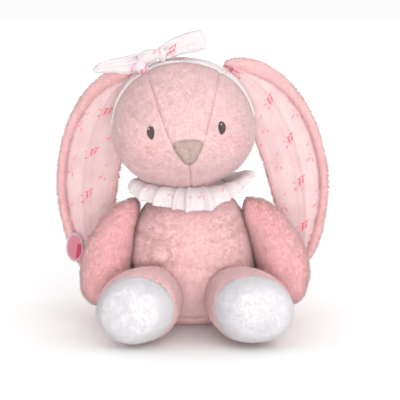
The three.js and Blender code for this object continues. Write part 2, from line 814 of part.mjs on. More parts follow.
function addHead(group) {
  const panels = headPanels();
  add(group, "head_centre_panel", panels.centre, PALE_PINK);
  add(group, "head_left_panel", panels.left, PALE_PINK);
  add(group, "head_right_panel", panels.right, PALE_PINK);
  add(group, "head_stuffing", headStuffing(), FIBRE);
  add(group, "eye_left", facePatch(eyeOutline(1), EYE.x, EYE.z, 1), 0x4a3a3a, 0.6);
  add(group, "eye_right", facePatch(eyeOutline(-1), -EYE.x, EYE.z, 1), 0x4a3a3a, 0.6);
  add(group, "nose", facePatch(noseOutline(), 0, NOSE_HEIGHT, 1.4), 0xc4b1aa);
  add(group, "headband", headband(), MUSLIN);
  const bow = bowParts();
  add(group, "bow_knot", bow.knot, MUSLIN);
  add(group, "bow_loop_left", bow.left, MUSLIN);
  add(group, "bow_loop_right", bow.right, MUSLIN);
  for (const [side, sign] of [["left", 1], ["right", -1]]) {
    const pieces = ear(sign);
    add(group, `ear_back_${side}`, pieces.back, PINK);
    add(group, `ear_lining_${side}`, pieces.lining, MUSLIN);
  }
  add(group, "ear_label", earLabel(), 0xe9c3dc, 0.7);
}

function addLimbs(group) {
  for (const side of ["left", "right"]) {
    const upper = arm(side);
    add(group, `arm_cover_${side}`, upper.cover, PINK);
    add(group, `arm_stuffing_${side}`, upper.stuffing, FIBRE);
    const lower = leg(side);
    add(group, `leg_cover_${side}`, lower.cover, PINK);
    add(group, `foot_sole_${side}`, lower.sole, WHITE_PILE);
    add(group, `leg_stuffing_${side}`, lower.stuffing, FIBRE);
  }
}

addTorso(bunny);
addModule(bunny);
add(bunny, "neck_core", neckCore(), FIBRE);
addLimbs(bunny);

const leaning = new THREE.Group();
leaning.position.copy(NECK_PIVOT);
leaning.rotation.y = THREE.MathUtils.degToRad(HEAD_ROLL);
const head = new THREE.Group();
head.position.copy(NECK_PIVOT).negate();
leaning.add(head);
addHead(head);
bunny.add(leaning);

export default bunny;
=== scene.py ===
import json
import math

import bmesh
import bpy
import numpy as np
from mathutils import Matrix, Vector
from mathutils.bvhtree import BVHTree
from mathutils.kdtree import KDTree


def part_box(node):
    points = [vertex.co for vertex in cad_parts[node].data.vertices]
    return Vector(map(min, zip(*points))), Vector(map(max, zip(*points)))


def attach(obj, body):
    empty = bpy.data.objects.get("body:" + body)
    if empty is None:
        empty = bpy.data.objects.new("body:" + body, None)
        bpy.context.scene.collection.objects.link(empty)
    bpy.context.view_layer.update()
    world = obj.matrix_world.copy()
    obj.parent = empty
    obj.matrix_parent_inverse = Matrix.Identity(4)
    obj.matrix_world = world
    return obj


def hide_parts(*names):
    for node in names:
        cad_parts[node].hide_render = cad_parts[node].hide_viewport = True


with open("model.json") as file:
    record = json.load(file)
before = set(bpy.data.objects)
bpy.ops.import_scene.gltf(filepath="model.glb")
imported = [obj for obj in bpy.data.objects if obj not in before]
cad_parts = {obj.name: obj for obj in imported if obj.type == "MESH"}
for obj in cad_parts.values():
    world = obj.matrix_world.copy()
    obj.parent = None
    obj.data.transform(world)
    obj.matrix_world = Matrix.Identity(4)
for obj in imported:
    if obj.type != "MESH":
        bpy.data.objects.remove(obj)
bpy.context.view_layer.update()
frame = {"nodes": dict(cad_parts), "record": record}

NODES = frame["nodes"]
HEAD_ROLL = math.radians(-3.5)  # the head leans a little to the toy's right
NECK_Z = 0.132  # height of the point that it leans about
SCENE = bpy.context.scene
SIDES = (("left", 1), ("right", -1))  # the toy's own sides, with the sign of x
CLOTH_FRAMES = 14


# ---------------------------------------------------------------- small maths
def unit(v):
    return v / np.maximum(np.linalg.norm(v, axis=-1, keepdims=True), 1e-12)


def smoothstep(x, low, high):
    t = np.clip((x - low) / (high - low), 0, 1)
    return t * t * (3 - 2 * t)


def rolled(p, angle):
    """Points turned sideways about the neck."""
    p = np.asarray(p, float)
    c, s = math.cos(angle), math.sin(angle)
    x, z = p[..., 0], p[..., 2] - NECK_Z
    return np.stack([x * c + z * s, p[..., 1], NECK_Z - x * s + z * c], -1)


def leaned(p):
    """Points of the upright head, in metres, to where the leaning head has them."""
    return rolled(p, HEAD_ROLL)


def upright(p):
    """Points of the leaning head to where the upright head would have them."""
    return rolled(p, -HEAD_ROLL)


def turns(count):
    """Angles once round, without the repeated last one."""
    return np.linspace(0, 2 * math.pi, count, endpoint=False)


def lattice(i, j, k, seed):
    """A fixed number from -1 to 1 for each whole-numbered place."""
    n = (i * 374761393 + j * 668265263 + k * 1274126177 + seed * 974634777) & 0xFFFFFFFF
    n = ((n ^ (n >> 13)) * 1103515245) & 0xFFFFFFFF
    n = ((n ^ (n >> 15)) * 668265263) & 0xFFFFFFFF
    return ((n ^ (n >> 16)) & 0xFFFFFF) / float(0xFFFFFF) * 2 - 1


def noise(p, size, seed):
    """Smooth seeded noise from -1 to 1, with lumps about `size` metres across."""
    q = np.asarray(p, float) / size + 1000.0
    base = np.floor(q).astype(np.int64)
    f = q - base
    f = f * f * (3 - 2 * f)
    total = 0.0
    for corner in np.ndindex(2, 2, 2):
        w = 1.0
        for k, far in enumerate(corner):
            w = w * (f[..., k] if far else 1 - f[..., k])
        total = total + w * lattice(*(base[..., k] + corner[k] for k in range(3)), seed)
    return total


def run_along(line):
    """How far along a line each of its points is, in metres."""
    return np.concatenate([[0], np.cumsum(np.linalg.norm(np.diff(line, axis=0), axis=1))])


def catmull(points, count, closed=False):
    """A smooth curve through the points, at `count` places evenly spaced along it."""
    p = np.asarray(points, float)
    if closed:
        p = np.vstack([p[-1], p, p[0], p[1]])
    else:
        p = np.vstack([2 * p[0] - p[1], p, 2 * p[-1] - p[-2]])
    out = []
    for i in range(1, len(p) - 2):
        a, b, c, d = p[i - 1], p[i], p[i + 1], p[i + 2]
        t = np.linspace(0, 1, 24, endpoint=False)[:, None]
        square, cube = 2 * a - 5 * b + 4 * c - d, 3 * b - 3 * c + d - a
        out.append(0.5 * (2 * b + (c - a) * t + square * t**2 + cube * t**3))
    out.append(p[-2][None])
    dense = np.vstack(out)
    run = run_along(dense)
    at = np.linspace(0, run[-1], count)
    return np.stack([np.interp(at, run, dense[:, k]) for k in range(p.shape[1])], 1)


def along(values, t):
    """A smooth value at 0 <= t <= 1 from evenly spaced ones."""
    curve = catmull(np.stack([np.arange(len(values)), np.asarray(values, float)], 1), 200)
    return np.interp(np.asarray(t) * (len(values) - 1), curve[:, 0], curve[:, 1])


# ---------------------------------------------------------------- meshes
def make(name, verts, faces, materials=(), index=None, smooth=True, uv=None, normals=None):
    """A mesh object from arrays. Faces all have the same number of corners."""
    verts = np.ascontiguousarray(verts, dtype=np.float32)
    faces = np.ascontiguousarray(faces, dtype=np.int32)
    count, corners = faces.shape
    me = bpy.data.meshes.new(name)
    me.vertices.add(len(verts))
    me.vertices.foreach_set("co", verts.ravel())
    me.loops.add(count * corners)
    me.loops.foreach_set("vertex_index", faces.ravel())
    me.polygons.add(count)
    me.polygons.foreach_set("loop_start", np.arange(0, count * corners, corners, dtype=np.int32))
    if index is not None:
        me.polygons.foreach_set("material_index", np.asarray(index, dtype=np.int32))
    me.update(calc_edges=True)
    me.polygons.foreach_set("use_smooth", np.full(count, smooth))
    if uv is not None:
        layer = me.uv_layers.new(name="UVMap")
        layer.data.foreach_set("uv", np.asarray(uv, dtype=np.float32)[faces.ravel()].ravel())
    for m in materials:
        me.materials.append(m)
    if normals is not None:
        me.normals_split_custom_set_from_vertices(np.asarray(normals, dtype=np.float32))
    ob = bpy.data.objects.new(name, me)
    SCENE.collection.objects.link(ob)
    return ob


def arrays(ob):
    """(vertices, triangles) of an object's mesh."""
    me = ob.data
    v = np.empty(len(me.vertices) * 3, np.float32)
    me.vertices.foreach_get("co", v)
    me.calc_loop_triangles()
    t = np.empty(len(me.loop_triangles) * 3, np.int32)
    me.loop_triangles.foreach_get("vertices", t)
    return v.reshape(-1, 3).astype(float), t.reshape(-1, 3)


def put(ob, verts):
    """Moves a mesh's points."""
    ob.data.vertices.foreach_set("co", np.ascontiguousarray(verts, dtype=np.float32).ravel())
    ob.data.update()


def smooth_shaded(ob):
    ob.data.polygons.foreach_set("use_smooth", np.full(len(ob.data.polygons), True))


def dress(ob, body, nodes=()):
    """Ties a piece to its body, and hides the soft CAD nodes that it stands for."""
    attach(ob, body)
    if nodes:
        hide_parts(*nodes)


def vertex_normals(v, t):
    n = np.zeros_like(v)
    face = np.cross(v[t[:, 1]] - v[t[:, 0]], v[t[:, 2]] - v[t[:, 0]])
    for k in range(3):
        np.add.at(n, t[:, k], face)
    return unit(n)


def settle(ob):
    """Applies every modifier of the object."""
    deps = bpy.context.evaluated_depsgraph_get()
    done = bpy.data.meshes.new_from_object(ob.evaluated_get(deps), depsgraph=deps)
    ob.modifiers.clear()
    old = ob.data
    ob.data = done
    bpy.data.meshes.remove(old)
    ob.data.name = ob.name


def relax(v, faces, rounds, amount=0.5, weight=None):
    """Evens out a mesh a little, by moving each point towards its neighbours."""
    edges = np.vstack([faces[:, [i, (i + 1) % faces.shape[1]]] for i in range(faces.shape[1])])
    edges = np.unique(np.sort(edges, axis=1), axis=0)
    for _ in range(rounds):
        total = np.zeros_like(v)
        count = np.zeros(len(v))
        np.add.at(total, edges[:, 0], v[edges[:, 1]])
        np.add.at(total, edges[:, 1], v[edges[:, 0]])
        np.add.at(count, edges[:, 0], 1)
        np.add.at(count, edges[:, 1], 1)
        step = (total / count[:, None] - v) * amount
        v = v + (step if weight is None else step * weight[:, None])
    return v


def grid_faces(rows, cols, wrap=False):
    """Quads of a grid of rows x cols points. With wrap, the last column joins the first."""
    i = np.arange(rows - 1)[:, None]
    j = np.arange(cols if wrap else cols - 1)[None, :]
    k = (j + 1) % cols
    return np.stack([i * cols + j, i * cols + k, (i + 1) * cols + k, (i + 1) * cols + j], -1).reshape(-1, 4)


def split(quads):
    """Quads as triangles."""
    return np.vstack([quads[:, [0, 1, 2]], quads[:, [0, 2, 3]]])


def closed_faces(rows, cols):
    """Triangles of a grid that closes round its columns, with two poles as points rows * cols and the next."""
    i = np.arange(cols)
    j = (i + 1) % cols
    last, pole = (rows - 1) * cols, rows * cols
    return np.vstack([split(grid_faces(rows, cols, True)), np.stack([j, i, np.full(cols, pole)], 1),
                      np.stack([last + i, last + j, np.full(cols, pole + 1)], 1)])


def domed_faces(rings, cols):
    """Triangles of rings of points that close in on one last point."""
    i = np.arange(cols)
    last = (rings - 1) * cols
    bands = [split(grid_faces(2, cols, True) + k * cols) for k in range(rings - 1)]
    return np.vstack([*bands, np.stack([last + i, last + (i + 1) % cols, np.full(cols, rings * cols)], 1)])


def thickened(verts, faces, normals, thickness, uv=None):
    """A sheet of cloth with two sides and an edge round them."""
    n = len(verts)
    both = np.vstack([verts + normals * thickness / 2, verts - normals * thickness / 2])
    edge = {}
    for f in faces:
        for a, b in zip(f, np.roll(f, -1)):
            key = (min(a, b), max(a, b))
            edge[key] = None if key in edge else (a, b)
    rim = np.array([(e[1], e[0], e[0] + n, e[1] + n) for e in edge.values() if e is not None])
    all_faces = np.vstack([faces, faces[:, ::-1] + n, rim])
    return both, all_faces, None if uv is None else np.vstack([uv, uv])


def grid_normals(verts, quads):
    return vertex_normals(verts, split(quads))


def inflate(ob, start, t, hold, pressure, cap, tension, compression):
    """Blows a closed mesh up as cloth by its filling, moves no point more than `cap`, and leaves no modifier."""
    group = ob.vertex_groups.new(name="pin")
    for i in np.nonzero(hold > 0.01)[0]:
        group.add([int(i)], float(min(1, hold[i])), "REPLACE")
    cloth = ob.modifiers.new("cloth", "CLOTH")
    s = cloth.settings
    s.quality = 4
    s.mass = 0.2
    s.use_pressure = True
    s.uniform_pressure_force = pressure
    s.tension_stiffness = tension
    s.compression_stiffness = compression
    s.shear_stiffness = 8
    s.bending_stiffness = 0.6
    s.effector_weights.gravity = 0
    s.vertex_group_mass = "pin"
    cloth.collision_settings.use_collision = False
    cloth.point_cache.frame_start = 1
    cloth.point_cache.frame_end = CLOTH_FRAMES
    for f in range(1, CLOTH_FRAMES + 1):
        SCENE.frame_set(f)
    settle(ob)
    step = arrays(ob)[0] - start
    far = np.linalg.norm(step, axis=1, keepdims=True)
    put(ob, relax(start + step * np.minimum(1, cap / np.maximum(far, 1e-9)), t, 1))
    ob.vertex_groups.clear()
    SCENE.frame_set(1)


def subdivide(ob, levels):
    mod = ob.modifiers.new("subdivision", "SUBSURF")
    mod.levels = mod.render_levels = levels
    settle(ob)


def plump(name, nodes, voxel, pressure, cap, shape, pinned=None, even=2, levels=1):
    """A stuffed piece from the CAD solids it stands for: joined, remeshed, shaped and blown up by its filling."""
    vs, ts, base = [], [], 0
    for node in nodes:
        v, t = arrays(NODES[node])
        vs.append(v)
        ts.append(t + base)
        base += len(v)
    ob = make(name, np.vstack(vs), np.vstack(ts))
    mod = ob.modifiers.new("remesh", "REMESH")
    mod.mode = "VOXEL"
    mod.voxel_size = voxel
    settle(ob)
    skin_only(ob)  # without the walls of hollows
    v, t = arrays(ob)
    v = relax(v, t, even)
    v = shape(v, vertex_normals(v, t))
    put(ob, v)
    inflate(ob, v, t, np.zeros(len(v)) if pinned is None else pinned(v), pressure, cap, 18, 12)
    subdivide(ob, levels)
    smooth_shaded(ob)
    return ob


def skin_only(ob):
    """Keeps the largest separate shell of a mesh."""
    bm = bmesh.new()
    bm.from_mesh(ob.data)
    bm.verts.ensure_lookup_table()
    seen = np.zeros(len(bm.verts), bool)
    best = []
    for first in bm.verts:
        if seen[first.index]:
            continue
        stack, found = [first], []
        seen[first.index] = True
        while stack:
            at = stack.pop()
            found.append(at)
            for e in at.link_edges:
                other = e.other_vert(at)
                if not seen[other.index]:
                    seen[other.index] = True
                    stack.append(other)
        size = max(v.co.z for v in found) - min(v.co.z for v in found)
        if not best or size * len(found) > best[0]:
            best = [size * len(found), set(found)]
    bmesh.ops.delete(bm, geom=[v for v in bm.verts if v not in best[1]], context="VERTS")
    bm.to_mesh(ob.data)
    bm.free()
    ob.data.update()


# ---------------------------------------------------------------- materials
def rgb(r, g, b):
    """A colour as read off a screen, 0 to 255, to the linear values of a shader."""
    out = []
    for c in (r, g, b):
        c = c / 255
        out.append(c / 12.92 if c <= 0.04045 else ((c + 0.055) / 1.055) ** 2.4)
    return (*out, 1.0)


class Nodes:
    """Builds a material's nodes with short calls."""

    def __init__(self, name):
        self.material = bpy.data.materials.new(name)
        self.material.use_nodes = True
        self.tree = self.material.node_tree
        self.shader = self.tree.nodes["Principled BSDF"]

    def add(self, kind, **settings):
        node = self.tree.nodes.new(kind)
        for key, value in settings.items():
            setattr(node, key, value)
        return node

    def link(self, value, socket):
        if isinstance(value, bpy.types.NodeSocket):
            self.tree.links.new(value, socket)
        else:
            socket.default_value = value

    def set(self, **values):
        for key, value in values.items():
            self.link(value, self.shader.inputs[key.replace("_", " ")])

    def coords(self, kind="Object"):
        return self.add("ShaderNodeTexCoord").outputs[kind]

    def math(self, op, a, b=0.0, clamp=False):
        node = self.add("ShaderNodeMath", operation=op, use_clamp=clamp)
        self.link(a, node.inputs[0])
        self.link(b, node.inputs[1])
        return node.outputs[0]

    def mapped(self, vector, scale=(1, 1, 1), location=(0, 0, 0), rotation=(0, 0, 0), kind="POINT"):
        node = self.add("ShaderNodeMapping", vector_type=kind)
        self.link(vector, node.inputs["Vector"])
        node.inputs["Scale"].default_value = scale
        node.inputs["Location"].default_value = location
        node.inputs["Rotation"].default_value = rotation
        return node.outputs[0]

    def noise(self, vector, scale, detail=2.0, rough=0.5, distortion=0.0):
        node = self.add("ShaderNodeTexNoise")
        self.link(vector, node.inputs["Vector"])
        node.inputs["Scale"].default_value = scale
        node.inputs["Detail"].default_value = detail
        node.inputs["Roughness"].default_value = rough
        node.inputs["Distortion"].default_value = distortion
        return node.outputs["Fac"]

    def wave(self, vector, scale, direction="X", distortion=0.0, detail=1.0):
        node = self.add("ShaderNodeTexWave", bands_direction=direction, wave_profile="SIN")
        self.link(vector, node.inputs["Vector"])
        node.inputs["Scale"].default_value = scale
        node.inputs["Distortion"].default_value = distortion
        node.inputs["Detail"].default_value = detail
        return node.outputs["Fac"]

    def ramp(self, value, stops):
        node = self.add("ShaderNodeValToRGB")
        self.link(value, node.inputs["Fac"])
        items = node.color_ramp.elements
        while len(items) < len(stops):
            items.new(0.5)
        for item, (place, colour) in zip(items, stops):
            item.position = place
            item.color = colour
        return node.outputs["Color"]

    def mix(self, factor, a, b, blend="MIX"):
        node = self.add("ShaderNodeMix", data_type="RGBA", blend_type=blend)
        self.link(factor, node.inputs[0])
        self.link(a, node.inputs[6])
        self.link(b, node.inputs[7])
        return node.outputs[2]

    def spread(self, value, low, high, to_low=0.0, to_high=1.0, smooth=True):
        node = self.add("ShaderNodeMapRange", interpolation_type="SMOOTHSTEP" if smooth else "LINEAR")
        self.link(value, node.inputs["Value"])
        for key, number in zip(("From Min", "From Max", "To Min", "To Max"), (low, high, to_low, to_high)):
            node.inputs[key].default_value = number
        return node.outputs[0]

    def length(self, vector):
        node = self.add("ShaderNodeVectorMath", operation="LENGTH")
        self.link(vector, node.inputs[0])
        return node.outputs["Value"]

    def bump(self, height, strength, distance, under=None):
        node = self.add("ShaderNodeBump")
        node.inputs["Strength"].default_value = strength
        node.inputs["Distance"].default_value = distance
        self.link(height, node.inputs["Height"])
        if under is not None:
            self.link(under, node.inputs["Normal"])
        return node.outputs[0]


def soft(n, sheen=0.35, tint=(1, 1, 1, 1), roughness=0.9, spread=0.45):
    """The dull, slightly shining surface of cloth."""
    n.shader.inputs["Sheen Weight"].default_value = sheen
    n.shader.inputs["Sheen Roughness"].default_value = spread
    n.shader.inputs["Sheen Tint"].default_value = tint
    n.shader.inputs["Specular IOR Level"].default_value = 0.15
    n.shader.inputs["Roughness"].default_value = roughness


def plush_backing(name, low, high):
    """The knitted ground and lowest pile of a short plush. Its given colours are mostly darker and redder than the
    pile's, as painted shade deep in the pile.
    """
    n = Nodes(name)
    at = n.coords()
    clumps = n.noise(at, 170, 3, 0.6, 0.6)
    broad = n.noise(at, 22, 2, 0.5)
    both = n.math("ADD", n.math("MULTIPLY", clumps, 0.65), n.math("MULTIPLY", broad, 0.35))
    n.set(Base_Color=n.ramp(both, [(0.32, low), (0.68, high)]))
    fibres = n.noise(n.mapped(at, (1, 1, 0.35)), 1500, 2, 0.6)
    n.set(Normal=n.bump(fibres, 0.5, 0.0006, n.bump(clumps, 0.6, 0.0016)))
    soft(n, 0.4, high)
    return n.material


def fibre(name, colour, sheen=0.5):
    """One dye lot of pile fibre. The pile mixes several of them tuft by tuft."""
    n = Nodes(name)
    n.set(Base_Color=colour)
    soft(n, sheen, tuple(0.5 + 0.5 * c for c in colour[:3]) + (1,), 0.85, 0.5)
    return n.material


DYE_STEPS = (-1.0, -0.35, 0.3, 1.0)
RED_SHIFT, OTHER_SHIFT = 1.0, 1.5  # a dye lot differs less in its red


def shades(name, colour, sheen=0.45, span=0.065):
    """Four dye lots round a colour, dark to light."""
    out = []
    for i, k in enumerate(DYE_STEPS):
        shift = [k * span * (c if k < 0 else 255 - c) for c in colour]
        lot = [c + d * w for c, d, w in zip(colour, shift, (RED_SHIFT, OTHER_SHIFT, OTHER_SHIFT))]
        out.append(fibre(f"{name}_fibre_{i + 1}", rgb(*(max(0, min(255, c)) for c in lot)), sheen))
    return out


SPRIG_TILE = (0.031, 0.045)  # the print's repeat, in metres
ROSE = rgb(238, 108, 124)
MID_ROSE = rgb(238, 146, 157)
FAINT_ROSE = rgb(238, 188, 193)
# each mark: x, y, turn in degrees, half-length, half-width, in mm within the tile
STRONG_MARKS = [
    (8.3, 11.7, 88, 3.3, 1.1), (8.4, 15.5, 12, 2.1, 0.9), (11.6, 13.8, 74, 3.2, 0.8), (11.9, 17.9, 18, 2.1, 0.8),
    (2.7, 12.0, 0, 0.8, 0.8), (4.0, 5.6, 0, 1.05, 1.05), (6.2, 7.8, 45, 2.9, 0.2), (5.2, 12.2, 5, 2.4, 0.18),
    (14.0, 19.4, 32, 1.4, 0.3), (8.0, 8.6, 80, 2.2, 0.2)
]
MID_MARKS = [
    (20.4, 32.4, 36, 2.8, 0.95), (24.2, 31.0, 98, 2.4, 0.8), (22.6, 35.4, 82, 2.2, 0.18), (22.0, 37.8, 0, 0.6, 0.6),
    (23.8, 36.8, 0, 0.6, 0.6), (24.7, 2.4, 60, 1.9, 0.5), (23.4, 1.6, 140, 1.7, 0.45), (25.6, 4.2, 20, 1.2, 0.4)
]
FAINT_MARKS = [
    (14.8, 4.2, 70, 1.2, 0.4), (15.4, 5.2, 10, 1.0, 0.35), (2.6, 41.2, 20, 2.4, 0.5), (1.6, 43.0, 100, 1.8, 0.5),
    (5.4, 40.6, 170, 1.6, 0.45), (6.6, 35.4, 10, 2.2, 0.5), (3.6, 33.2, 70, 2.1, 0.5), (9.8, 33.4, 110, 2.1, 0.5),
    (4.2, 29.6, 120, 2.1, 0.5), (9.0, 29.4, 60, 2.1, 0.5), (6.6, 27.8, 0, 2.0, 0.5), (22.8, 19.0, 100, 1.8, 0.5),
    (25.0, 17.2, 75, 1.8, 0.5), (22.9, 14.6, 80, 1.8, 0.5), (24.9, 12.6, 100, 1.7, 0.5), (28.8, 24.0, 50, 1.6, 0.5),
    (29.6, 22.2, 130, 1.5, 0.45), (16.8, 24.6, 80, 1.7, 0.45), (15.8, 27.0, 140, 1.2, 0.35)
]


def printed_gauze(name, ground, shift=(0.0, 0.0)):
    """Crinkled double gauze with small leaf sprigs and berries, laid out in its flat cloth's metres."""
    n = Nodes(name)
    uv = n.coords("UV")
    moved = n.mapped(uv, location=(*shift, 0))
    wobble = n.add("ShaderNodeTexNoise")
    n.link(moved, wobble.inputs["Vector"])
    wobble.inputs["Scale"].default_value = 60
    parts = n.add("ShaderNodeSeparateXYZ")
    n.link(moved, parts.inputs[0])
    join = n.add("ShaderNodeCombineXYZ")
    for axis, size in enumerate(SPRIG_TILE):
        sway = n.math("MULTIPLY", n.math("SUBTRACT", wobble.outputs["Fac"], 0.5), 0.0016)
        tiled = n.math("WRAP", n.math("ADD", parts.outputs[axis], sway), size)
        tiled.node.inputs[2].default_value = 0.0
        n.link(tiled, join.inputs[axis])
    tile = n.mapped(join.outputs[0], (1000, 1000, 1000))
    weave = n.math("MULTIPLY", n.wave(uv, 420, "X", 0.4), n.wave(uv, 420, "Y", 0.4))
    patchy = n.noise(uv, 900, 2)

    def print_of(marks):
        total = None
        for x, y, turn, long, wide in marks:
            local = n.mapped(tile, (long, wide, 1), (x, y, 0), (0, 0, math.radians(turn)), "TEXTURE")
            flat = n.add("ShaderNodeVectorMath", operation="MULTIPLY")
            n.link(local, flat.inputs[0])
            flat.inputs[1].default_value = (1, 1, 0)
            mark = n.spread(n.length(flat.outputs[0]), 0.8, 1.12, 1.0, 0.0)
            total = mark if total is None else n.math("MAXIMUM", total, mark)
        worn = n.spread(patchy, 0.2, 0.5, 0.72, 1.0)
        return n.math("MULTIPLY", total, worn)

    base = n.ramp(n.noise(uv, 50, 3), [(0.3, ground[0]), (0.7, ground[1])])
    inks = ((FAINT_MARKS, 0.9, FAINT_ROSE), (MID_MARKS, 0.9, MID_ROSE), (STRONG_MARKS, 0.95, ROSE))
    for marks, strength, ink in inks:
        base = n.mix(n.math("MULTIPLY", print_of(marks), strength), base, ink)
    base = n.mix(n.spread(weave, 0.0, 0.35, 0.12, 0.0), base, ground[2])
    n.set(Base_Color=base)
    crinkle = n.noise(n.mapped(uv, (1, 0.45, 1)), 260, 3, 0.6, 0.8)
    n.set(Normal=n.bump(weave, 0.25, 0.0003, n.bump(crinkle, 0.45, 0.0012)))
    soft(n, 0.25, (1, 0.97, 0.97, 1), 0.88)
    return n.material


GAUZE = printed_gauze("printed_gauze", (rgb(213, 205, 207), rgb(222, 215, 216), rgb(206, 189, 193)))
# painted light: the ears' lining is the same gauze with a pinker ground, standing in for pink light bounced off the
# plush and shade near the head
EAR_GAUZE_WITH_PAINTED_BOUNCE_LIGHT = printed_gauze("printed_gauze_ear_painted_bounce", (rgb(223, 192, 193), rgb(230, 204, 204), rgb(218, 176, 179)),
                          (0.004, 0.011))


def woven(name, low, high, threads=900):
    """Plain-woven cotton or tape, with its threads crossing."""
    n = Nodes(name)
    at = n.coords()
    weave = n.math("MULTIPLY", n.wave(at, threads / 6.28, "X", 0.6), n.wave(at, threads / 6.28, "Z", 0.6))
    mixed = n.math("ADD", n.math("MULTIPLY", weave, 0.5), n.math("MULTIPLY", n.noise(at, 60, 3), 0.5))
    n.set(Base_Color=n.ramp(mixed, [(0.25, low), (0.75, high)]))
    n.set(Normal=n.bump(weave, 0.5, 0.0004))
    soft(n, 0.2)
    return n.material


def moulded(name, colour, roughness=0.42, grain=900, wear=0.05, metal=0.0, coat=0.0):
    """Moulded plastic, metal or board, with fine grain, faint flow marks and rubbed patches."""
    n = Nodes(name)
    at = n.coords()
    broad = n.noise(at, 35, 3)
    fine = n.noise(at, grain, 2)
    dark = tuple(max(0, c * (1 - 2 * wear)) for c in colour[:3]) + (1,)
    light = tuple(min(1, c * (1 + wear) + 0.01) for c in colour[:3]) + (1,)
    n.set(Base_Color=n.ramp(broad, [(0.3, dark), (0.7, light)]))
    n.set(Roughness=n.spread(n.noise(at, 120, 3), 0.3, 0.7, roughness - 0.07, roughness + 0.1))
    n.set(Normal=n.bump(fine, 0.12, 0.0002))
    n.shader.inputs["Metallic"].default_value = metal
    n.shader.inputs["Coat Weight"].default_value = coat
    return n.material


def thread(name, colour, turns=2600, roughness=0.55):
    """Satin-stitched or spun thread, with its lay showing."""
    n = Nodes(name)
    at = n.coords()
    lay = n.wave(n.mapped(at, rotation=(0, 0.5, 0)), turns / 6.28, "X", 1.2, 2.0)
    low = tuple(c * 0.62 for c in colour[:3]) + (1,)
    high = tuple(min(1, c * 1.35 + 0.01) for c in colour[:3]) + (1,)
    n.set(Base_Color=n.ramp(lay, [(0.15, low), (0.85, high)]))
    n.set(Normal=n.bump(lay, 0.6, 0.0003))
    n.set(Roughness=n.spread(lay, 0, 1, roughness + 0.1, roughness - 0.08))
    n.shader.inputs["Sheen Weight"].default_value = 0.1
    return n.material


# ---------------------------------------------------------------- pile
THIRDS = (0, 2.094, 4.189)  # the root's three corners, in radians
TUFT_FACES = ([0, 1, 3], [1, 2, 3], [2, 0, 3], [2, 1, 0])


def nap(*way):
    """A nap brushed one way all over."""
    return lambda p, n: np.tile(way, (len(p), 1))


def pile(name, base, body, mats, per_mm2=0.9, length=0.0026, width=0.00042, flow=None, mask=None, tint=None,
         seed=1, lean=0.75, clump=0.4, wild=0.24, keep=None, face=None):
    """Short plush pile on a piece: closed tapered tufts that lie with the nap and gather in small locks.

    flow(p, n) gives the way the nap is brushed, mask(p, n) thins it, keep(p, n) shortens it, and tint(p, n)
    gives a tuft's colour group and a shift of its dye lot, which paints light and shade on the face and body.
    face turns the tufts' shading a little towards that direction.
    """
    rng = np.random.default_rng(seed)
    v, t = arrays(base)
    vn = vertex_normals(v, t)
    a, b, c = v[t[:, 0]], v[t[:, 1]], v[t[:, 2]]
    area = np.linalg.norm(np.cross(b - a, c - a), axis=1) / 2
    count = int(area.sum() * 1e6 * per_mm2 * (1.0))
    pick = np.searchsorted(np.cumsum(area) / area.sum(), rng.random(count)).clip(0, len(t) - 1)
    r1, r2 = np.sqrt(rng.random(count)), rng.random(count)
    w = np.stack([1 - r1, r1 * (1 - r2), r1 * r2], 1)[:, :, None]
    tri = t[pick]
    p = (v[tri] * w).sum(1)
    n = unit((vn[tri] * w).sum(1))
    if mask is not None:
        stay = rng.random(count) < mask(p, n)
        p, n = p[stay], n[stay]
    count = len(p)
    brush = np.tile(np.array([0.0, 0.0, -1.0]), (count, 1)) if flow is None else flow(p, n)
    swirl = np.stack([noise(p, 0.022, seed + k) for k in (11, 12, 13)], 1)
    lock = np.stack([noise(p, 0.0045, seed + k) for k in (21, 22, 23)], 1)
    side = brush + 0.4 * swirl + clump * lock
    side = side - n * (side * n).sum(1, keepdims=True)
    direction = unit(n + lean * side + wild * rng.normal(size=(count, 3)))
    size = length * (1 + 0.22 * noise(p, 0.006, seed + 31) + 0.12 * rng.normal(size=count)).clip(0.4, 1.6)
    if keep is not None:
        size = size * keep(p, n)
    u1 = unit(np.cross(n, rng.normal(size=(count, 3))))
    u2 = np.cross(n, u1)
    thick = (width * (1 + 0.25 * rng.normal(size=count)).clip(0.5, 1.7))[:, None]
    root = p - n * 0.0003
    corner = [root + thick * (math.cos(k) * u1 + math.sin(k) * u2) for k in THIRDS]
    tip = p + direction * size[:, None]
    verts = np.stack([*corner, tip], 1).reshape(-1, 3)
    first = np.arange(count)[:, None] * 4
    faces = np.concatenate([first + np.array(f) for f in TUFT_FACES], 1).reshape(-1, 3)
    level = 0.5 + 0.13 * noise(p, 0.003, seed + 41) + 0.12 * noise(p, 0.03, seed + 42) + 0.2 * rng.normal(size=count)
    group = np.zeros(count, int)
    lots = len(DYE_STEPS)
    if tint is not None:
        group, shift = tint(p, n)
        level = level + shift
    index = np.repeat((level * lots).astype(int).clip(0, lots - 1) + group * lots, len(TUFT_FACES))
    if face is not None:
        n = unit(n + np.array(face))
    outward = unit(n + direction * 0.25)
    normals = np.stack([n, n, n, outward], 1).reshape(-1, 3)
    ob = make(name, verts, faces, mats, index, True, None, normals)
    dress(ob, body)


# ---------------------------------------------------------------- colours
HEAD_PINK = (235, 200, 202)
BODY_PINK = (243, 199, 200)
LIMB_PINK = (242, 192, 193)
EAR_PINK = (247, 202, 203)
SOLE_WHITE = (241, 238, 241)
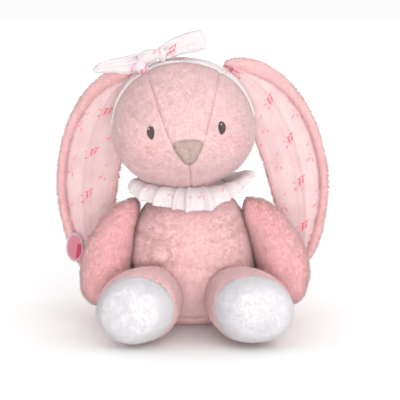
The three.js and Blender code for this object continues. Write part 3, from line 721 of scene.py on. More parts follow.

# painted shade: most plush grounds are darker and redder than their pile, as shade deep in the pile between the tufts
head_ground = plush_backing("head_plush_ground", rgb(226, 182, 182), rgb(238, 200, 200))
body_ground = plush_backing("body_plush_ground", rgb(238, 186, 186), rgb(246, 202, 202))
limb_ground = plush_backing("limb_plush_ground", rgb(234, 166, 166), rgb(244, 186, 186))
ear_ground = plush_backing("ear_plush_ground", rgb(238, 178, 176), rgb(246, 196, 194))
sole_ground = plush_backing("sole_plush_ground", rgb(240, 234, 238), rgb(250, 246, 249))
head_fibres = shades("head", HEAD_PINK)
blush_fibres = shades("blush", (244, 180, 182))
body_fibres = shades("body", BODY_PINK)
limb_fibres = shades("limb", LIMB_PINK)
# painted light: the legs' fibres and ground are lighter copies of the limbs' pink, standing in for light on the legs'
# upturned tops
leg_fibres_painted_light = shades("leg", (255, 208, 209))
leg_ground_painted_light = plush_backing("leg_plush_ground_painted_light", rgb(246, 196, 196), rgb(252, 212, 212))
ear_fibres = shades("ear", EAR_PINK)
sole_fibres = shades("sole", SOLE_WHITE, 0.12, 0.02)
nose_fibres = shades("nose", (205, 182, 174), 0.3, 0.04)


# ---------------------------------------------------------------- head
GUSSET = ([0.120, 0.150, 0.166, 0.174, 0.198, 0.229, 0.250], [0.0, 0.0, 0.0125, 0.016, 0.023, 0.032, 0.037])
HEAD_MID = np.array([-0.0045, -0.006, 0.1805])
NOSE = np.array([0.0, -0.0635, 0.165])


def seam_distance(v):
    """How far a point of the head is from the nearest of the face's seams."""
    q = upright(v)
    across = np.abs(np.abs(q[:, 0]) - np.interp(q[:, 2], *GUSSET))
    return np.where(q[:, 2] < 0.1665, np.where(q[:, 1] < 0, np.abs(q[:, 0]), 1.0), across * 0.92)


def head_shape(v, n):
    q = upright(v)
    x, y, z = q[:, 0], q[:, 1], q[:, 2]
    front = smoothstep(-y, -0.01, 0.04)
    bulge = 0.0028 * np.exp(-(((np.abs(x) - 0.046) / 0.024) ** 2 + ((z - 0.164) / 0.022) ** 2))
    muzzle = 0.0045 * np.exp(-((x / 0.019) ** 2 + ((z - 0.163) / 0.017) ** 2)) * front
    socket = -0.0022 * np.exp(-(((np.abs(x) - 0.029) / 0.011) ** 2 + ((z - 0.183) / 0.013) ** 2)) * front
    chin = -0.0018 * np.exp(-((x / 0.03) ** 2 + ((z - 0.137) / 0.012) ** 2)) * front
    lumps = 0.0009 * noise(v, 0.03, 5)
    return v + n * (bulge + muzzle + socket + chin + lumps - 0.0012)[:, None]


HEAD_NODES = ("head_centre_panel", "head_left_panel", "head_right_panel", "head_stuffing")
head = plump("head_plush", HEAD_NODES, voxel=0.0045, pressure=3.0, cap=0.004, shape=head_shape,
             pinned=lambda v: np.exp(-((seam_distance(v) / 0.0035) ** 2)), levels=2, even=5)
v, t = arrays(head)
near = np.exp(-((seam_distance(v) / 0.0013) ** 2))
put(head, v - vertex_normals(v, t) * (0.0013 * near)[:, None])
head.data.materials.append(head_ground)
dress(head, "head", HEAD_NODES)


def face_dir(p, n):
    """The face is brushed away from the nose, and the forehead a little upwards."""
    q = upright(p)
    return unit(q - NOSE) + np.array([0.0, 0.0, 0.25]) * smoothstep(q[:, 2], 0.19, 0.24)[:, None]


def face_blush_and_seam_shade(p, n):
    """Blush on both cheeks, and darker tufts in the seams as painted shade in their grooves."""
    q = upright(p)
    blush = np.exp(-(((np.abs(q[:, 0]) - 0.034) / 0.012) ** 2 + ((q[:, 2] - 0.1665) / 0.008) ** 2))
    blush = blush * (q[:, 1] < -0.03)
    chosen = np.random.default_rng(77).random(len(p)) < 0.8 * blush
    # painted shade: darker tufts along the seams, standing in for shade in their grooves
    dark = -0.55 * np.exp(-((seam_distance(p) / 0.0011) ** 2))
    return chosen.astype(int), dark


def band_middle(q):
    """How far back the headband's middle lies: it slants towards the nape on its way down."""
    across, up = q[..., 0] - HEAD_MID[0], q[..., 2] - HEAD_MID[2]
    return -0.0155 + 0.012 * across**2 / (across**2 + up**2)


def face_mask(p, n):
    q = upright(p)
    under_band = (np.abs(q[:, 1] - band_middle(q)) < 0.0072) & (q[:, 2] > 0.184)
    return np.where(((q[:, 2] < 0.13) & (np.hypot(q[:, 0], q[:, 1]) < 0.026)) | under_band, 0.0, 1.0)


pile("head_pile", head, "head", head_fibres + blush_fibres, per_mm2=1.15, length=0.0021, width=0.00036,
     flow=face_dir, mask=face_mask, tint=face_blush_and_seam_shade, seed=3, lean=1.0, clump=0.3,
     keep=lambda p, n: 0.45 + 0.55 * smoothstep(seam_distance(p), 0.0, 0.0022))


# ---------------------------------------------------------------- torso
# half-width and height of the body's outline, and its depth as a share of its width
TORSO = np.array([[0.036, 0.0], [0.046, 0.0035], [0.053, 0.010], [0.0615, 0.034], [0.0605, 0.062], [0.052, 0.091],
                  [0.039, 0.111], [0.030, 0.1185]])
TORSO_DEPTH = 0.85
TORSO_FLOOR = 0.0003  # lowest point of the body
WHORL = np.array([-0.030, -0.05, 0.068])  # centre of the swirl in the belly's nap
# soft creases of the belly: height, slope, bow, depth, half-width
TORSO_FOLDS = [(0.079, 0.05, 3.0, 0.0020, 0.0035), (0.0585, -0.10, -4.0, 0.0022, 0.0032),
               (0.092, -0.04, 4.0, 0.0011, 0.003)]
WINDOW_HALF, WINDOW_LOW, WINDOW_HIGH = 0.019, 0.042, 0.084  # opening in the back, for the sound module


def torso_start():
    """The body before it is filled: rings round its outline, closed above and below."""
    rings = catmull(TORSO, 34)
    inside = np.linspace(0, 1, 7)[1:-1, None]
    bottom = np.hstack([rings[0, 0] * inside, np.zeros_like(inside) + 0.0004])
    top = np.hstack([rings[-1, 0] * inside[::-1], rings[-1, 1] + 0.0012 * (1 - inside[::-1])])
    profile = np.vstack([bottom, rings, top])
    cols = 84
    a = turns(cols)
    width, height = profile[:, :1], profile[:, 1:]
    verts = np.stack([width * np.sin(a), width * np.cos(a) * -TORSO_DEPTH, np.repeat(height, cols, 1)], -1)
    verts = np.vstack([verts.reshape(-1, 3), [[0, 0, profile[0, 1]], [0, 0, profile[-1, 1]]]])
    return verts, closed_faces(len(profile), cols)


def torso_seams(v):
    """Where the body's seams, floor and neck hold still while it is filled."""
    side = np.exp(-((v[:, 1] / 0.004) ** 2)) * (v[:, 2] > 0.006)
    base = np.exp(-(((v[:, 2] - 0.008) / 0.003) ** 2))
    floor = (v[:, 2] < 0.004).astype(float)
    top = smoothstep(v[:, 2], 0.112, 0.117)
    return np.clip(side + base + floor + top, 0, 1)


torso = make("torso_plush", *torso_start())
v, t = arrays(torso)
n = vertex_normals(v, t)
front = smoothstep(-v[:, 1], 0.0, 0.03)
belly = 0.0016 * front * np.exp(-((v[:, 0] / 0.04) ** 2 + ((v[:, 2] - 0.045) / 0.03) ** 2))
v = v + n * (-0.001 + 0.0012 * noise(v, 0.035, 8) + belly)[:, None]
v[:, 2] = np.maximum(v[:, 2], TORSO_FLOOR)
put(torso, v)
v, t = arrays(torso)
inflate(torso, v, t, torso_seams(v), 3.0, 0.0035, 16, 11.2)
subdivide(torso, 1)
v, t = arrays(torso)
n = vertex_normals(v, t)
front = smoothstep(-v[:, 1], 0.0, 0.02)
for height, slope, bow, depth, wide in TORSO_FOLDS:
    line = height + slope * v[:, 0] + bow * v[:, 0] ** 2
    reach = 1 - 0.75 * np.exp(-(((v[:, 0] - 0.004) / 0.020) ** 2))
    v = v - n * (depth * reach * front * np.exp(-(((v[:, 2] - line) / wide) ** 2)))[:, None]
swirl_ring = np.linalg.norm((v - WHORL)[:, [0, 2]], axis=1)
v = v - n * (0.0015 * front * np.exp(-(((swirl_ring - 0.0095) / 0.0030) ** 2)))[:, None]
base_seam = 0.0014 * np.exp(-(((v[:, 2] - 0.0095) / 0.0016) ** 2))
side_seams = 0.0011 * np.exp(-((v[:, 1] / 0.0014) ** 2)) * (v[:, 2] > 0.01)
v = v - n * (base_seam + side_seams)[:, None]
v[:, 2] = np.maximum(v[:, 2], TORSO_FLOOR)
put(torso, v)


def in_window(p, grow):
    inside = (p[:, 2] > WINDOW_LOW - grow) & (p[:, 2] < WINDOW_HIGH + grow)
    return (np.abs(p[:, 0]) < WINDOW_HALF + grow) & inside & (p[:, 1] > 0)


def cut_window(ob):
    """Cuts the opening in the back, square to the cloth's front."""
    bm = bmesh.new()
    bm.from_mesh(ob.data)

    def faces_within(half, low, high):
        middles = [(f, f.calc_center_median()) for f in bm.faces]
        return [f for f, m in middles if m.y > 0.02 and abs(m.x) < half and low < m.z < high]

    for axis, at in (("X", WINDOW_HALF), ("X", -WINDOW_HALF), ("Z", WINDOW_LOW), ("Z", WINDOW_HIGH)):
        normal = Vector((axis == "X", 0, axis == "Z"))
        near = faces_within(0.03, 0.034, 0.092)
        geom = near + list({e for f in near for e in f.edges}) + list({q for f in near for q in f.verts})
        bmesh.ops.bisect_plane(bm, geom=geom, plane_co=normal * at, plane_no=normal)
    gone = faces_within(WINDOW_HALF, WINDOW_LOW, WINDOW_HIGH)
    bmesh.ops.delete(bm, geom=gone, context="FACES")
    bmesh.ops.triangulate(bm, faces=bm.faces[:])
    bm.to_mesh(ob.data)
    bm.free()
    ob.data.update()


cut_window(torso)
smooth_shaded(torso)
torso.data.materials.append(body_ground)
dress(torso, "torso", ("torso_front_cover", "torso_back_cover", "torso_stuffing"))


def torso_flow(p, n):
    """The body is brushed down, with a whorl on the belly."""
    away = p - WHORL
    away[:, 1] = 0
    r = np.linalg.norm(away, axis=1, keepdims=True)
    spin = np.stack([-away[:, 2], np.zeros(len(p)), away[:, 0]], 1)
    whorl = np.exp(-((r / 0.022) ** 2)) * (p[:, 1:2] < 0)
    down = np.tile([0.15, 0.0, -0.9], (len(p), 1))
    return down * (1 - whorl) + unit(spin * 0.8 + away) * whorl * 1.1


# Painted light and shade on the body's pile, set through its dye lots.
def torso_painted_light_and_shade(p, n):
    front = p[:, 1] < 0
    # painted light: lighter tufts low on the front between the feet, where the feet shade the body
    painted_light_between_feet = 0.9 * np.exp(-((p[:, 0] / 0.035) ** 2)) * front * smoothstep(-p[:, 2], -0.055, -0.02)
    # painted shade: darker tufts along the bottom, where the body meets the floor
    painted_shade_at_floor = 0.8 * smoothstep(-p[:, 2], -0.011, -0.006)
    # painted shade: darker tufts in the crease round the belly's whorl
    ring = np.exp(-(((np.linalg.norm((p - WHORL)[:, [0, 2]], axis=1) - 0.012) / 0.004) ** 2)) * front
    return np.zeros(len(p), int), painted_light_between_feet - painted_shade_at_floor - 0.3 * ring


def torso_mask(p, n):
    return np.where((p[:, 2] < 0.003) | (p[:, 2] > 0.1165) | in_window(p, 0.003), 0.0, 1.0)


pile("torso_pile", torso, "torso", body_fibres, per_mm2=1.0, length=0.0025, width=0.0004,
     flow=torso_flow, mask=torso_mask, tint=torso_painted_light_and_shade, seed=5, clump=0.35,
     keep=lambda p, n: smoothstep(p[:, 2], 0.001, 0.006) * 0.7 + 0.3)


# ---------------------------------------------------------------- arms and legs
SOLE_SEAM = -0.103  # how far forward the soles are sewn to the legs


def limb_shape(seed, size):
    return lambda v, n: v + n * (size * noise(v, 0.028, seed) - 0.001)[:, None]


def leg_hold(v):
    """The sole's seam and the hip hold still while a leg is filled."""
    seam = np.exp(-(((v[:, 1] - SOLE_SEAM) / 0.003) ** 2))
    return np.clip(seam + smoothstep(v[:, 1], -0.045, -0.03), 0, 1)


def above(height):
    """No pile below a height, where the toy stands."""
    return lambda p, n: np.where(p[:, 2] < height, 0.0, 1.0)


def sole_flow(centre):
    """A sole's pile is brushed out from its middle."""
    def flow(p, n):
        away = p - centre
        away[:, 1] = 0
        return unit(away) * 0.5 + np.array([0.0, 0.0, 0.25])
    return flow


for side, sign in SIDES:
    arm_nodes = (f"arm_cover_{side}", f"arm_stuffing_{side}")
    arm = plump(f"arm_plush_{side}", arm_nodes, voxel=0.004, pressure=3.5, cap=0.0035,
                shape=limb_shape(21 + sign, 0.002), pinned=lambda v: smoothstep(v[:, 2], 0.098, 0.106), even=6)
    arm.data.materials.append(limb_ground)
    dress(arm, f"arm_{side}", arm_nodes)
    pile(f"arm_pile_{side}", arm, f"arm_{side}", limb_fibres, per_mm2=1.0, length=0.0027, width=0.00042,
         flow=nap(0.25 * sign, -0.25, -0.9), seed=30 + sign, lean=0.85)

    leg = plump(f"leg_whole_{side}", [f"leg_cover_{side}", f"foot_sole_{side}", f"leg_stuffing_{side}"],
                voxel=0.0042, pressure=3.5, cap=0.0035, shape=limb_shape(41 + sign, 0.0016), pinned=leg_hold, even=6)
    v, t = arrays(leg)
    n = vertex_normals(v, t)
    v = v - n * (0.0018 * np.exp(-(((v[:, 1] - SOLE_SEAM) / 0.0017) ** 2)))[:, None]
    v[:, 2] = np.maximum(v[:, 2], 0.0006)
    centre = v[t].mean(1)
    bpy.data.objects.remove(leg, do_unlink=True)
    for part, stay in (("leg", centre[:, 1] > SOLE_SEAM), ("foot", centre[:, 1] <= SOLE_SEAM)):
        kept, renumbered = np.unique(t[stay], return_inverse=True)
        name = f"leg_plush_{side}" if part == "leg" else f"foot_sole_plush_{side}"
        ob = make(name, v[kept], renumbered.reshape(-1, 3), [leg_ground_painted_light if part == "leg" else sole_ground])
        if part == "leg":
            dress(ob, f"leg_{side}", (f"leg_cover_{side}", f"leg_stuffing_{side}"))
            pile(f"leg_pile_{side}", ob, f"leg_{side}", leg_fibres_painted_light, per_mm2=1.0, length=0.0027,
                 width=0.00042, flow=nap(0.0, 0.5, -0.6), seed=50 + sign, lean=0.85, face=(0, -0.1, 0.2),
                 mask=above(0.0018))
        else:
            dress(ob, f"leg_{side}", (f"foot_sole_{side}",))
            pile(f"foot_sole_pile_{side}", ob, f"leg_{side}", sole_fibres, per_mm2=2.8, length=0.0026,
                 width=0.00030, flow=sole_flow(v[kept].mean(0)), seed=60 + sign, lean=1.5, clump=0.12, wild=0.3,
                 face=(0, -0.15, 0.1), mask=above(0.003),
                 keep=lambda p, n: 0.5 + 0.5 * smoothstep(p[:, 2], 0.002, 0.012))


# ---------------------------------------------------------------- tail
tail = plump("tail_plush", ["tail"], voxel=0.003, pressure=2.0, cap=0.002, shape=limb_shape(71, 0.001))
tail.data.materials.append(sole_ground)
dress(tail, "torso", ("tail",))
pile("tail_pile", tail, "torso", body_fibres, per_mm2=1.6, length=0.0042, width=0.00045, seed=72,
     lean=0.3, clump=0.9, wild=0.4, flow=nap(0, 0.4, -0.2), mask=above(0.0045))


# ---------------------------------------------------------------- ears
# the left ear from root to tip: its path in metres, its half-width, and how wide its plush rolls over the lining
EAR_PATH = np.array([[36, 11, 231], [64, 20, 211], [86, 34, 174], [99, 47, 131], [103, 54, 86], [102, 57, 52],
                     [99, 58, 33]]) / 1000
EAR_WIDTH = [0.017, 0.026, 0.029, 0.029, 0.028, 0.024, 0.018]
RIM_OUT = [0.020, 0.014, 0.0095, 0.0085, 0.0085, 0.009, 0.011]
RIM_IN = [0.012, 0.006, 0.003, 0.0025, 0.003, 0.005, 0.009]
EAR_ROWS = 150
EAR_SET_BACK = np.array([0, 0.0022, 0])


def ear_frame(sign, t):
    """Middle, outward direction and backward direction of an ear at t along it."""
    path = catmull(EAR_PATH * [sign, 1, 1], 400)
    step = 1e-3

    def place(s):
        return np.stack([np.interp(np.clip(s, 0, 1), np.linspace(0, 1, 400), path[:, k]) for k in range(3)], 1)

    at = place(t)
    run = unit(place(t + step) - place(t - step))
    side = unit(np.cross(run, [0, 1, 0])) * -sign
    side = side * np.sign((side * np.array([sign, 0, 0])).sum(1, keepdims=True) + 1e-9)
    back = unit(np.cross(side, run))
    back = back * np.sign(back[:, 1:2])
    middle = leaned(at)
    return middle, unit(leaned(at + side * 0.01) - middle), unit(leaned(at + back * 0.01) - middle)


def ear_pieces(side, sign):
    """An ear: its plush shell, its printed lining and its pile."""
    s = np.linspace(0, math.pi, EAR_ROWS)
    y = np.cos(s)
    t = (1 - y) / 2
    ring = np.sin(s) ** 0.55
    mid, out, back = ear_frame(sign, t)
    half = along(EAR_WIDTH, t) * ring
    rim_out = np.minimum(along(RIM_OUT, t), half * 0.98)
    rim_in = np.minimum(along(RIM_IN, t), half * 0.6)

    def front_height(x):
        """How far the plush stands forward of the ear's middle plane, at x across it."""
        from_out, from_in = half[:, None] - x, half[:, None] + x
        a = np.clip(from_out / np.maximum(rim_out[:, None], 1e-5), 0, 1)
        b = np.clip(from_in / np.maximum(rim_in[:, None], 1e-5), 0, 1)
        roll = 0.0052 * np.sqrt(np.clip(1 - (2 * a - 1) ** 2, 0, 1)) * (a < 1)
        roll_in = 0.0026 * np.sqrt(np.clip(1 - (2 * b - 1) ** 2, 0, 1)) * (b < 1)
        return np.maximum(roll, roll_in)

    # plush shell: over the back, round the outer roll, across the front behind the lining, and round again
    k = 30
    u = np.linspace(0, math.pi, k)
    across = -np.cos(u)
    fine = np.linspace(1, -1, 44)
    fine = np.sign(fine) * (1 - (1 - np.abs(fine)) ** 1.5)
    x_back = half[:, None] * across[None, :]
    rear = 0.0042 * np.sqrt(np.clip(1 - across**2, 0, 1)) ** 0.7
    x_front = half[:, None] * fine[None, 1:-1]
    h_back = np.repeat(rear[None, :], EAR_ROWS, 0) * np.minimum(1, ring[:, None] * 1.4)
    h_front = -np.maximum(front_height(x_front), 0.0004) * np.minimum(1, ring[:, None] * 1.6)
    x = np.hstack([x_back, x_front])
    h = np.hstack([h_back, h_front])
    v = mid[:, None] + out[:, None] * x[..., None] + back[:, None] * h[..., None]
    bend = 0.0015 * noise(v.reshape(-1, 3), 0.05, 90 + sign).reshape(x.shape)
    v = v + back[:, None] * bend[..., None] + EAR_SET_BACK
    cols = x.shape[1]
    verts = v.reshape(-1, 3)
    tri = split(grid_faces(EAR_ROWS, cols, True))
    if sign > 0:
        tri = tri[:, ::-1]
    normals = vertex_normals(verts, tri).reshape(EAR_ROWS, cols, 3)[EAR_ROWS // 2]
    if (normals[k // 2] * back[EAR_ROWS // 2]).sum() < 0:
        tri = tri[:, ::-1]
    shell = make(f"ear_plush_{side}", verts, tri, [ear_ground])
    dress(shell, f"ear_{side}", (f"ear_back_{side}",))

    # lining: printed gauze, puffed between its quilting, tucked under the plush roll
    rows, columns = 190, 60
    tt = np.linspace(0.035, 0.975, rows)
    mid, out, back = ear_frame(sign, tt)
    polar = np.sqrt(np.clip(1 - (1 - 2 * tt) ** 2, 0, 1)) ** 0.55
    half_l = along(EAR_WIDTH, tt) * polar
    r_out, r_in = np.minimum(along(RIM_OUT, tt), half_l * 0.9), np.minimum(along(RIM_IN, tt), half_l * 0.5)
    length = run_along(mid)
    scallop = 0.0006 * np.sin(length * 2 * math.pi / 0.017 + 1.3 * sign)
    scallop = scallop + 0.0003 * np.sin(length * 2 * math.pi / 0.007)
    edge_out = half_l - r_out * 0.72 + scallop
    edge_in = -half_l + r_in * 0.55 - scallop * 0.5
    c = np.linspace(0, 1, columns)
    x = edge_in[:, None] + (edge_out - edge_in)[:, None] * c[None, :]
    puff = (4 * c * (1 - c)) ** 0.35
    cross = np.abs(np.sin(length * math.pi / 0.031 + 0.7)) ** 0.3
    lengthwise = np.abs(np.sin((x + 0.004) * math.pi / 0.0175)) ** 0.3
    ridge = np.exp(-(((x - 0.35 * half_l[:, None] * 0.5) / 0.0022) ** 2))
    valley = np.exp(-(((x + 0.1 * half_l[:, None] + 0.004) / 0.004) ** 2))
    uv = np.stack([x * sign + 0.5, np.repeat((0.5 - length)[:, None], columns, 1)], -1).reshape(-1, 2)
    flat = np.stack([x, np.repeat(length[:, None], columns, 1), 0 * x + sign], -1)
    rough = noise(flat.reshape(-1, 3), 0.011, 95).reshape(x.shape)
    quilting = 0.0007 * cross[:, None] + 0.0006 * lengthwise
    tall = 0.0008 + puff * (0.0013 + quilting + 0.0012 * ridge - 0.0006 * valley + 0.0006 * rough)
    v = mid[:, None] + out[:, None] * x[..., None] - back[:, None] * tall[..., None] + EAR_SET_BACK
    verts = v.reshape(-1, 3)
    faces = grid_faces(rows, columns)
    normals = grid_normals(verts, faces)
    if (normals[len(normals) // 2] * -back[rows // 2]).sum() < 0:
        faces = faces[:, ::-1]
        normals = -normals
    verts, faces, uv = thickened(verts, faces, normals, 0.0007, uv)
    lining = make(f"ear_lining_cloth_{side}", verts, faces, [EAR_GAUZE_WITH_PAINTED_BOUNCE_LIGHT], uv=uv)
    dress(lining, f"ear_{side}", (f"ear_lining_{side}",))

    grid = v.reshape(-1, 3)[::3]
    tree = KDTree(len(grid))
    for i, g in enumerate(grid):
        tree.insert(g, i)
    tree.balance()
    inner = ((x - edge_in[:, None] > 0.003) & (edge_out[:, None] - x > 0.003)).reshape(-1)[::3]

    def under_lining(q):
        _, i, distance = tree.find(q)
        return inner[i] and distance < 0.006

    def ear_mask(p, n):
        """No pile in front, under the lining."""
        return 1.0 - (n[:, 1] < -0.2) * np.array([under_lining(q) for q in p], float)

    down = unit(np.gradient(EAR_PATH * [sign, 1, 1], axis=0))

    def ear_flow(p, n):
        q = upright(p)
        nearest = np.interp(-q[:, 2], -EAR_PATH[:, 2], np.arange(len(EAR_PATH))).astype(int)
        return down[nearest] * 0.8 + np.array([0.45 * sign, 0, 0])

    pile(f"ear_pile_{side}", shell, f"ear_{side}", ear_fibres, per_mm2=0.9, length=0.0026, width=0.00042,
         flow=ear_flow, mask=ear_mask, seed=80 + sign, lean=0.7)


for side, sign in SIDES:
    ear_pieces(side, sign)


# ---------------------------------------------------------------- ruffle collar
RUFFLE_PRINT = (0.012, 0.5)


def ruffle():
    """A printed strip gathered on a thread round the neck, its soft folds spreading out and hanging over the chest."""
    cols, rows = 720, 26
    a = turns(cols)
    t = np.linspace(0, 1, rows)[:, None]
    low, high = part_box("ruffle_collar")
    outer = high[0] - 0.0035
    ring = np.stack([np.cos(a), np.sin(a), 0 * a], 1)
    phase = 20 * a + 1.9 * noise(ring, 0.5, 7) + 0.8 * noise(ring, 0.2, 9)
    curl = phase + 0.55 * np.sin(phase) * smoothstep(t, 0.1, 0.9)
    wave = np.cos(curl) + 0.22 * np.cos(2 * curl + 0.8)
    size = 0.75 + 0.5 * noise(ring * 3, 0.8, 12)
    front, back, aside = np.maximum(np.cos(a), 0), np.maximum(-np.cos(a), 0), np.sin(a) ** 2
    inner, neck = 0.031, 0.1272
    reach = inner + (outer - inner) * (1 - 0.15 * front**1.5 - 0.22 * back**1.2)
    out = 1 - (1 - t) ** 1.55
    r = inner + (reach - inner) * out
    rise = np.where(np.sin(a) > 0, 0.0175, 0.0080) * aside**1.3
    drop = neck - low[2] - 0.0012 - np.where(np.sin(a) > 0, 0.0055, 0.0030) * aside
    z = neck + rise * out**1.5 - drop * t ** (1.9 + 1.4 * aside)
    amp = (0.0009 + 0.0034 * smoothstep(t, 0.0, 0.9)) * size * (1 - 0.7 * smoothstep(aside, 0.2, 0.8))
    fall = 0.30 + 0.58 * t
    slope_n = unit(np.stack([np.sin(a) * fall, -np.cos(a) * fall, (1.0 - fall) + 0 * a], -1))
    v = np.stack([r * np.sin(a), -r * np.cos(a) * 0.95, z], -1) + slope_n * (amp * wave)[..., None]
    tangent = np.stack([np.cos(a) + 0 * t, np.sin(a) + 0 * t, 0 * a + 0 * t], -1)
    sway = 0.0010 * smoothstep(t, 0.1, 1) * size * np.sin(curl) * np.sin(3 * a + 0.4) * (1 - 0.8 * aside)
    v = v + tangent * sway[..., None]
    v[..., 2] -= 0.0012 * t**3 * noise(ring, 0.3, 19) + 0.0009 * t**2 * size * wave * (1 - 0.8 * aside)
    verts = v.reshape(-1, 3)
    faces = grid_faces(rows, cols, True)
    round_hem = np.repeat(run_along(v[-2])[None] + RUFFLE_PRINT[0], rows, 0)
    down = np.repeat(RUFFLE_PRINT[1] - run_along(v[:, 0])[:, None], cols, 1)
    uv = np.stack([round_hem, down], -1).reshape(-1, 2)
    normals = grid_normals(verts, faces)
    if normals[0][2] < 0:
        faces, normals = faces[:, ::-1], -normals
    verts, faces, uv = thickened(verts, faces, normals, 0.0009, uv)
    ob = make("ruffle_cloth", verts, faces, [GAUZE], uv=uv)
    dress(ob, "torso", ("ruffle_collar",))


ruffle()


# ---------------------------------------------------------------- neck
def neck_piece():
    """The sewn neck: a short plush sleeve gathered between head and body."""
    cols, rows = 96, 14
    a = turns(cols)
    t = np.linspace(0, 1, rows)[:, None]
    z = 0.1155 + 0.016 * t
    r = 0.0245 + 0.004 * (2 * t - 1) ** 2 + 0.0006 * np.cos(26 * a + 0.5 * np.sin(3 * a)) * (1 - 0.4 * t)
    v = np.stack([r * np.sin(a) - 0.001, -r * np.cos(a) * 0.94, z + 0 * a], -1)
    verts = np.vstack([v.reshape(-1, 3), [[0, 0, z[0, 0]], [0, 0, z[-1, 0]]]])
    ob = make("neck_plush", verts, closed_faces(rows, cols), [body_ground])
    dress(ob, "neck", ("neck_core",))
    pile("neck_pile", ob, "neck", body_fibres, per_mm2=0.8, length=0.0022, seed=101,
         mask=lambda p, n: (np.abs(n[:, 2]) < 0.7).astype(float))


neck_piece()


# ---------------------------------------------------------------- face
v, t = arrays(head)
head_tree = BVHTree.FromPolygons([Vector(q) for q in v], t.tolist())


def on_face(x, z):
    """Where the line through (x, z) of the upright head, straight back, meets the face."""
    q = leaned(np.array([x, -0.25, z]))
    hit, normal, _, _ = head_tree.ray_cast(Vector(q), Vector((0, 1, 0)))
    if hit is None:
        hit, normal, _, _ = head_tree.find_nearest(Vector(leaned(np.array([x, -0.05, z]))))
    return np.array(hit), np.array(normal if normal.y < 0 else -normal)


def face_patch(name, outline, x, z, height, material, nodes=(), rings=7, sink=0.0006):
    """A domed patch on the face, its edge sunk into the pile."""
    count = len(outline)
    shares = [1 - k / rings for k in range(rings)]
    found = [on_face(x + px * f, z + pz * f) for f in shares for px, pz in outline] + [on_face(x, z)]
    verts = np.array([hit for hit, _ in found])
    outward = unit(np.mean([n for _, n in found], axis=0))
    tri = domed_faces(rings, count)
    if vertex_normals(verts, tri)[-1][1] > 0:
        tri = tri[:, ::-1]
    smoothed = relax(verts, tri, 6)
    verts[count:] = smoothed[count:]
    f = np.append(np.repeat(1 - np.arange(rings) / rings, count), 0.0)
    verts = verts + outward * (height * np.sqrt(np.maximum(0, 1 - f**2.4)) - np.where(f == 1, sink, 0))[:, None]
    ob = make(name, verts, tri, [material])
    dress(ob, "head", nodes)
    return ob


def smooth_outline(points, count, scale=1.0):
    return catmull(np.array(points, float) * scale / 1000, count + 1, True)[:-1]


eye_brown = thread("eye_thread", rgb(74, 54, 52), 5200, 0.4)
eye_rim = thread("eye_rim_thread", rgb(246, 226, 222), 5200)
eye_glint = thread("eye_glint_thread", rgb(250, 246, 244), 5200, 0.35)
# outlines in mm: the left eye, its glint and the nose
EYE = [(-0.6, -6.6), (2.7, -4.4), (4.0, -0.6), (3.2, 3.6), (0.6, 6.0), (-2.2, 5.2), (-3.6, 1.6), (-2.9, -3.4)]
GLINT = [(-0.9, 0), (-0.5, 0.9), (0.4, 1.1), (1.0, 0.3), (0.6, -0.7), (-0.4, -0.8)]
NOSE_HALF = [(4.6, -9.8), (9.4, -2.4), (13.2, 4.6), (13.0, 8.6), (9.0, 10.4)]
EYE_Z = 0.1815
for side, sign in SIDES:
    drop = [(sign * px, pz) for px, pz in EYE]
    x = sign * 0.0305 - 0.0012 + 0.0006 * (sign > 0)
    face_patch(f"eye_rim_{side}", smooth_outline(drop, 44, 1.2), x + sign * -0.0003, EYE_Z, 0.0012, eye_rim,
               rings=3, sink=0.0012)
    face_patch(f"eye_stitched_{side}", smooth_outline(drop, 44), x, EYE_Z, 0.0026, eye_brown,
               (f"eye_{side}",))
    face_patch(f"eye_glint_{side}", smooth_outline(GLINT, 16), x - 0.0010, EYE_Z + 0.0030, 0.0031, eye_glint,
               rings=3, sink=0)

# painted shade: the nose's ground is darker than its pile, as shade deep in the pile
nose_ground = plush_backing("nose_plush_ground", rgb(186, 162, 155), rgb(200, 176, 169))
wedge = [(0, -12.2), *NOSE_HALF, (0, 11.2), *((-px, pz) for px, pz in reversed(NOSE_HALF))]
nose = face_patch("nose_plush", smooth_outline(wedge, 60), 0.0, 0.1635, 0.0042, nose_ground, ("nose",),
                  rings=9)
pile("nose_pile_tufts", nose, "head", nose_fibres, per_mm2=6.0, length=0.0010, width=0.00015, seed=66,
     lean=0.3, clump=0.1, flow=nap(0, 0, -0.8))


def stitches(name, points, body, material, pitch=0.0032, radius=0.0003, gap=0.3):
    """A run of sewn stitches: short raised threads, sunk at their ends."""
    line = catmull(points, 600)
    run = run_along(line)
    verts, faces = [], []
    sides, steps = 6, 5
    for start in np.arange(0, run[-1] - pitch, pitch):
        at = np.linspace(start, start + pitch * (1 - gap), steps)
        path = np.stack([np.interp(at, run, line[:, k]) for k in range(3)], 1)
        run_dir = unit(path[-1] - path[0])
        u1 = unit(np.cross(run_dir, [0.31, 0.2, 0.93]))
        u2 = np.cross(run_dir, u1)
        base = sum(len(x) for x in verts)
        for k, p in enumerate(path):
            r = radius * (0.35 + 0.65 * math.sin(math.pi * k / (steps - 1)))
            verts.append(np.array([p + r * (math.cos(q) * u1 + math.sin(q) * u2) for q in turns(sides)]))
        faces.append(grid_faces(steps, sides, True) + base)
    dress(make(name, np.vstack(verts), np.vstack(faces), [material]), body)


def sewn_face(name, places, lift, radius):
    """Stitches along (x, z) places of the face."""
    points = []
    for x, z in places:
        hit, n = on_face(x, z)
        points.append(hit + n * lift)
    stitches(name, points, "head", seam_thread, pitch=0.0036, radius=radius)


seam_thread = thread("seam_thread", rgb(206, 140, 140), 6000)
for side, sign in SIDES:
    gusset = [(sign * np.interp(z, *GUSSET), z) for z in np.linspace(0.176, 0.226, 24)]
    sewn_face(f"gusset_stitches_{side}", gusset, 0.0002, 0.00035 if side == "right" else 0.0002)
sewn_face("chin_stitches", [(0.0, z) for z in np.linspace(0.1505, 0.134, 9)], 0.0003, 0.0003)


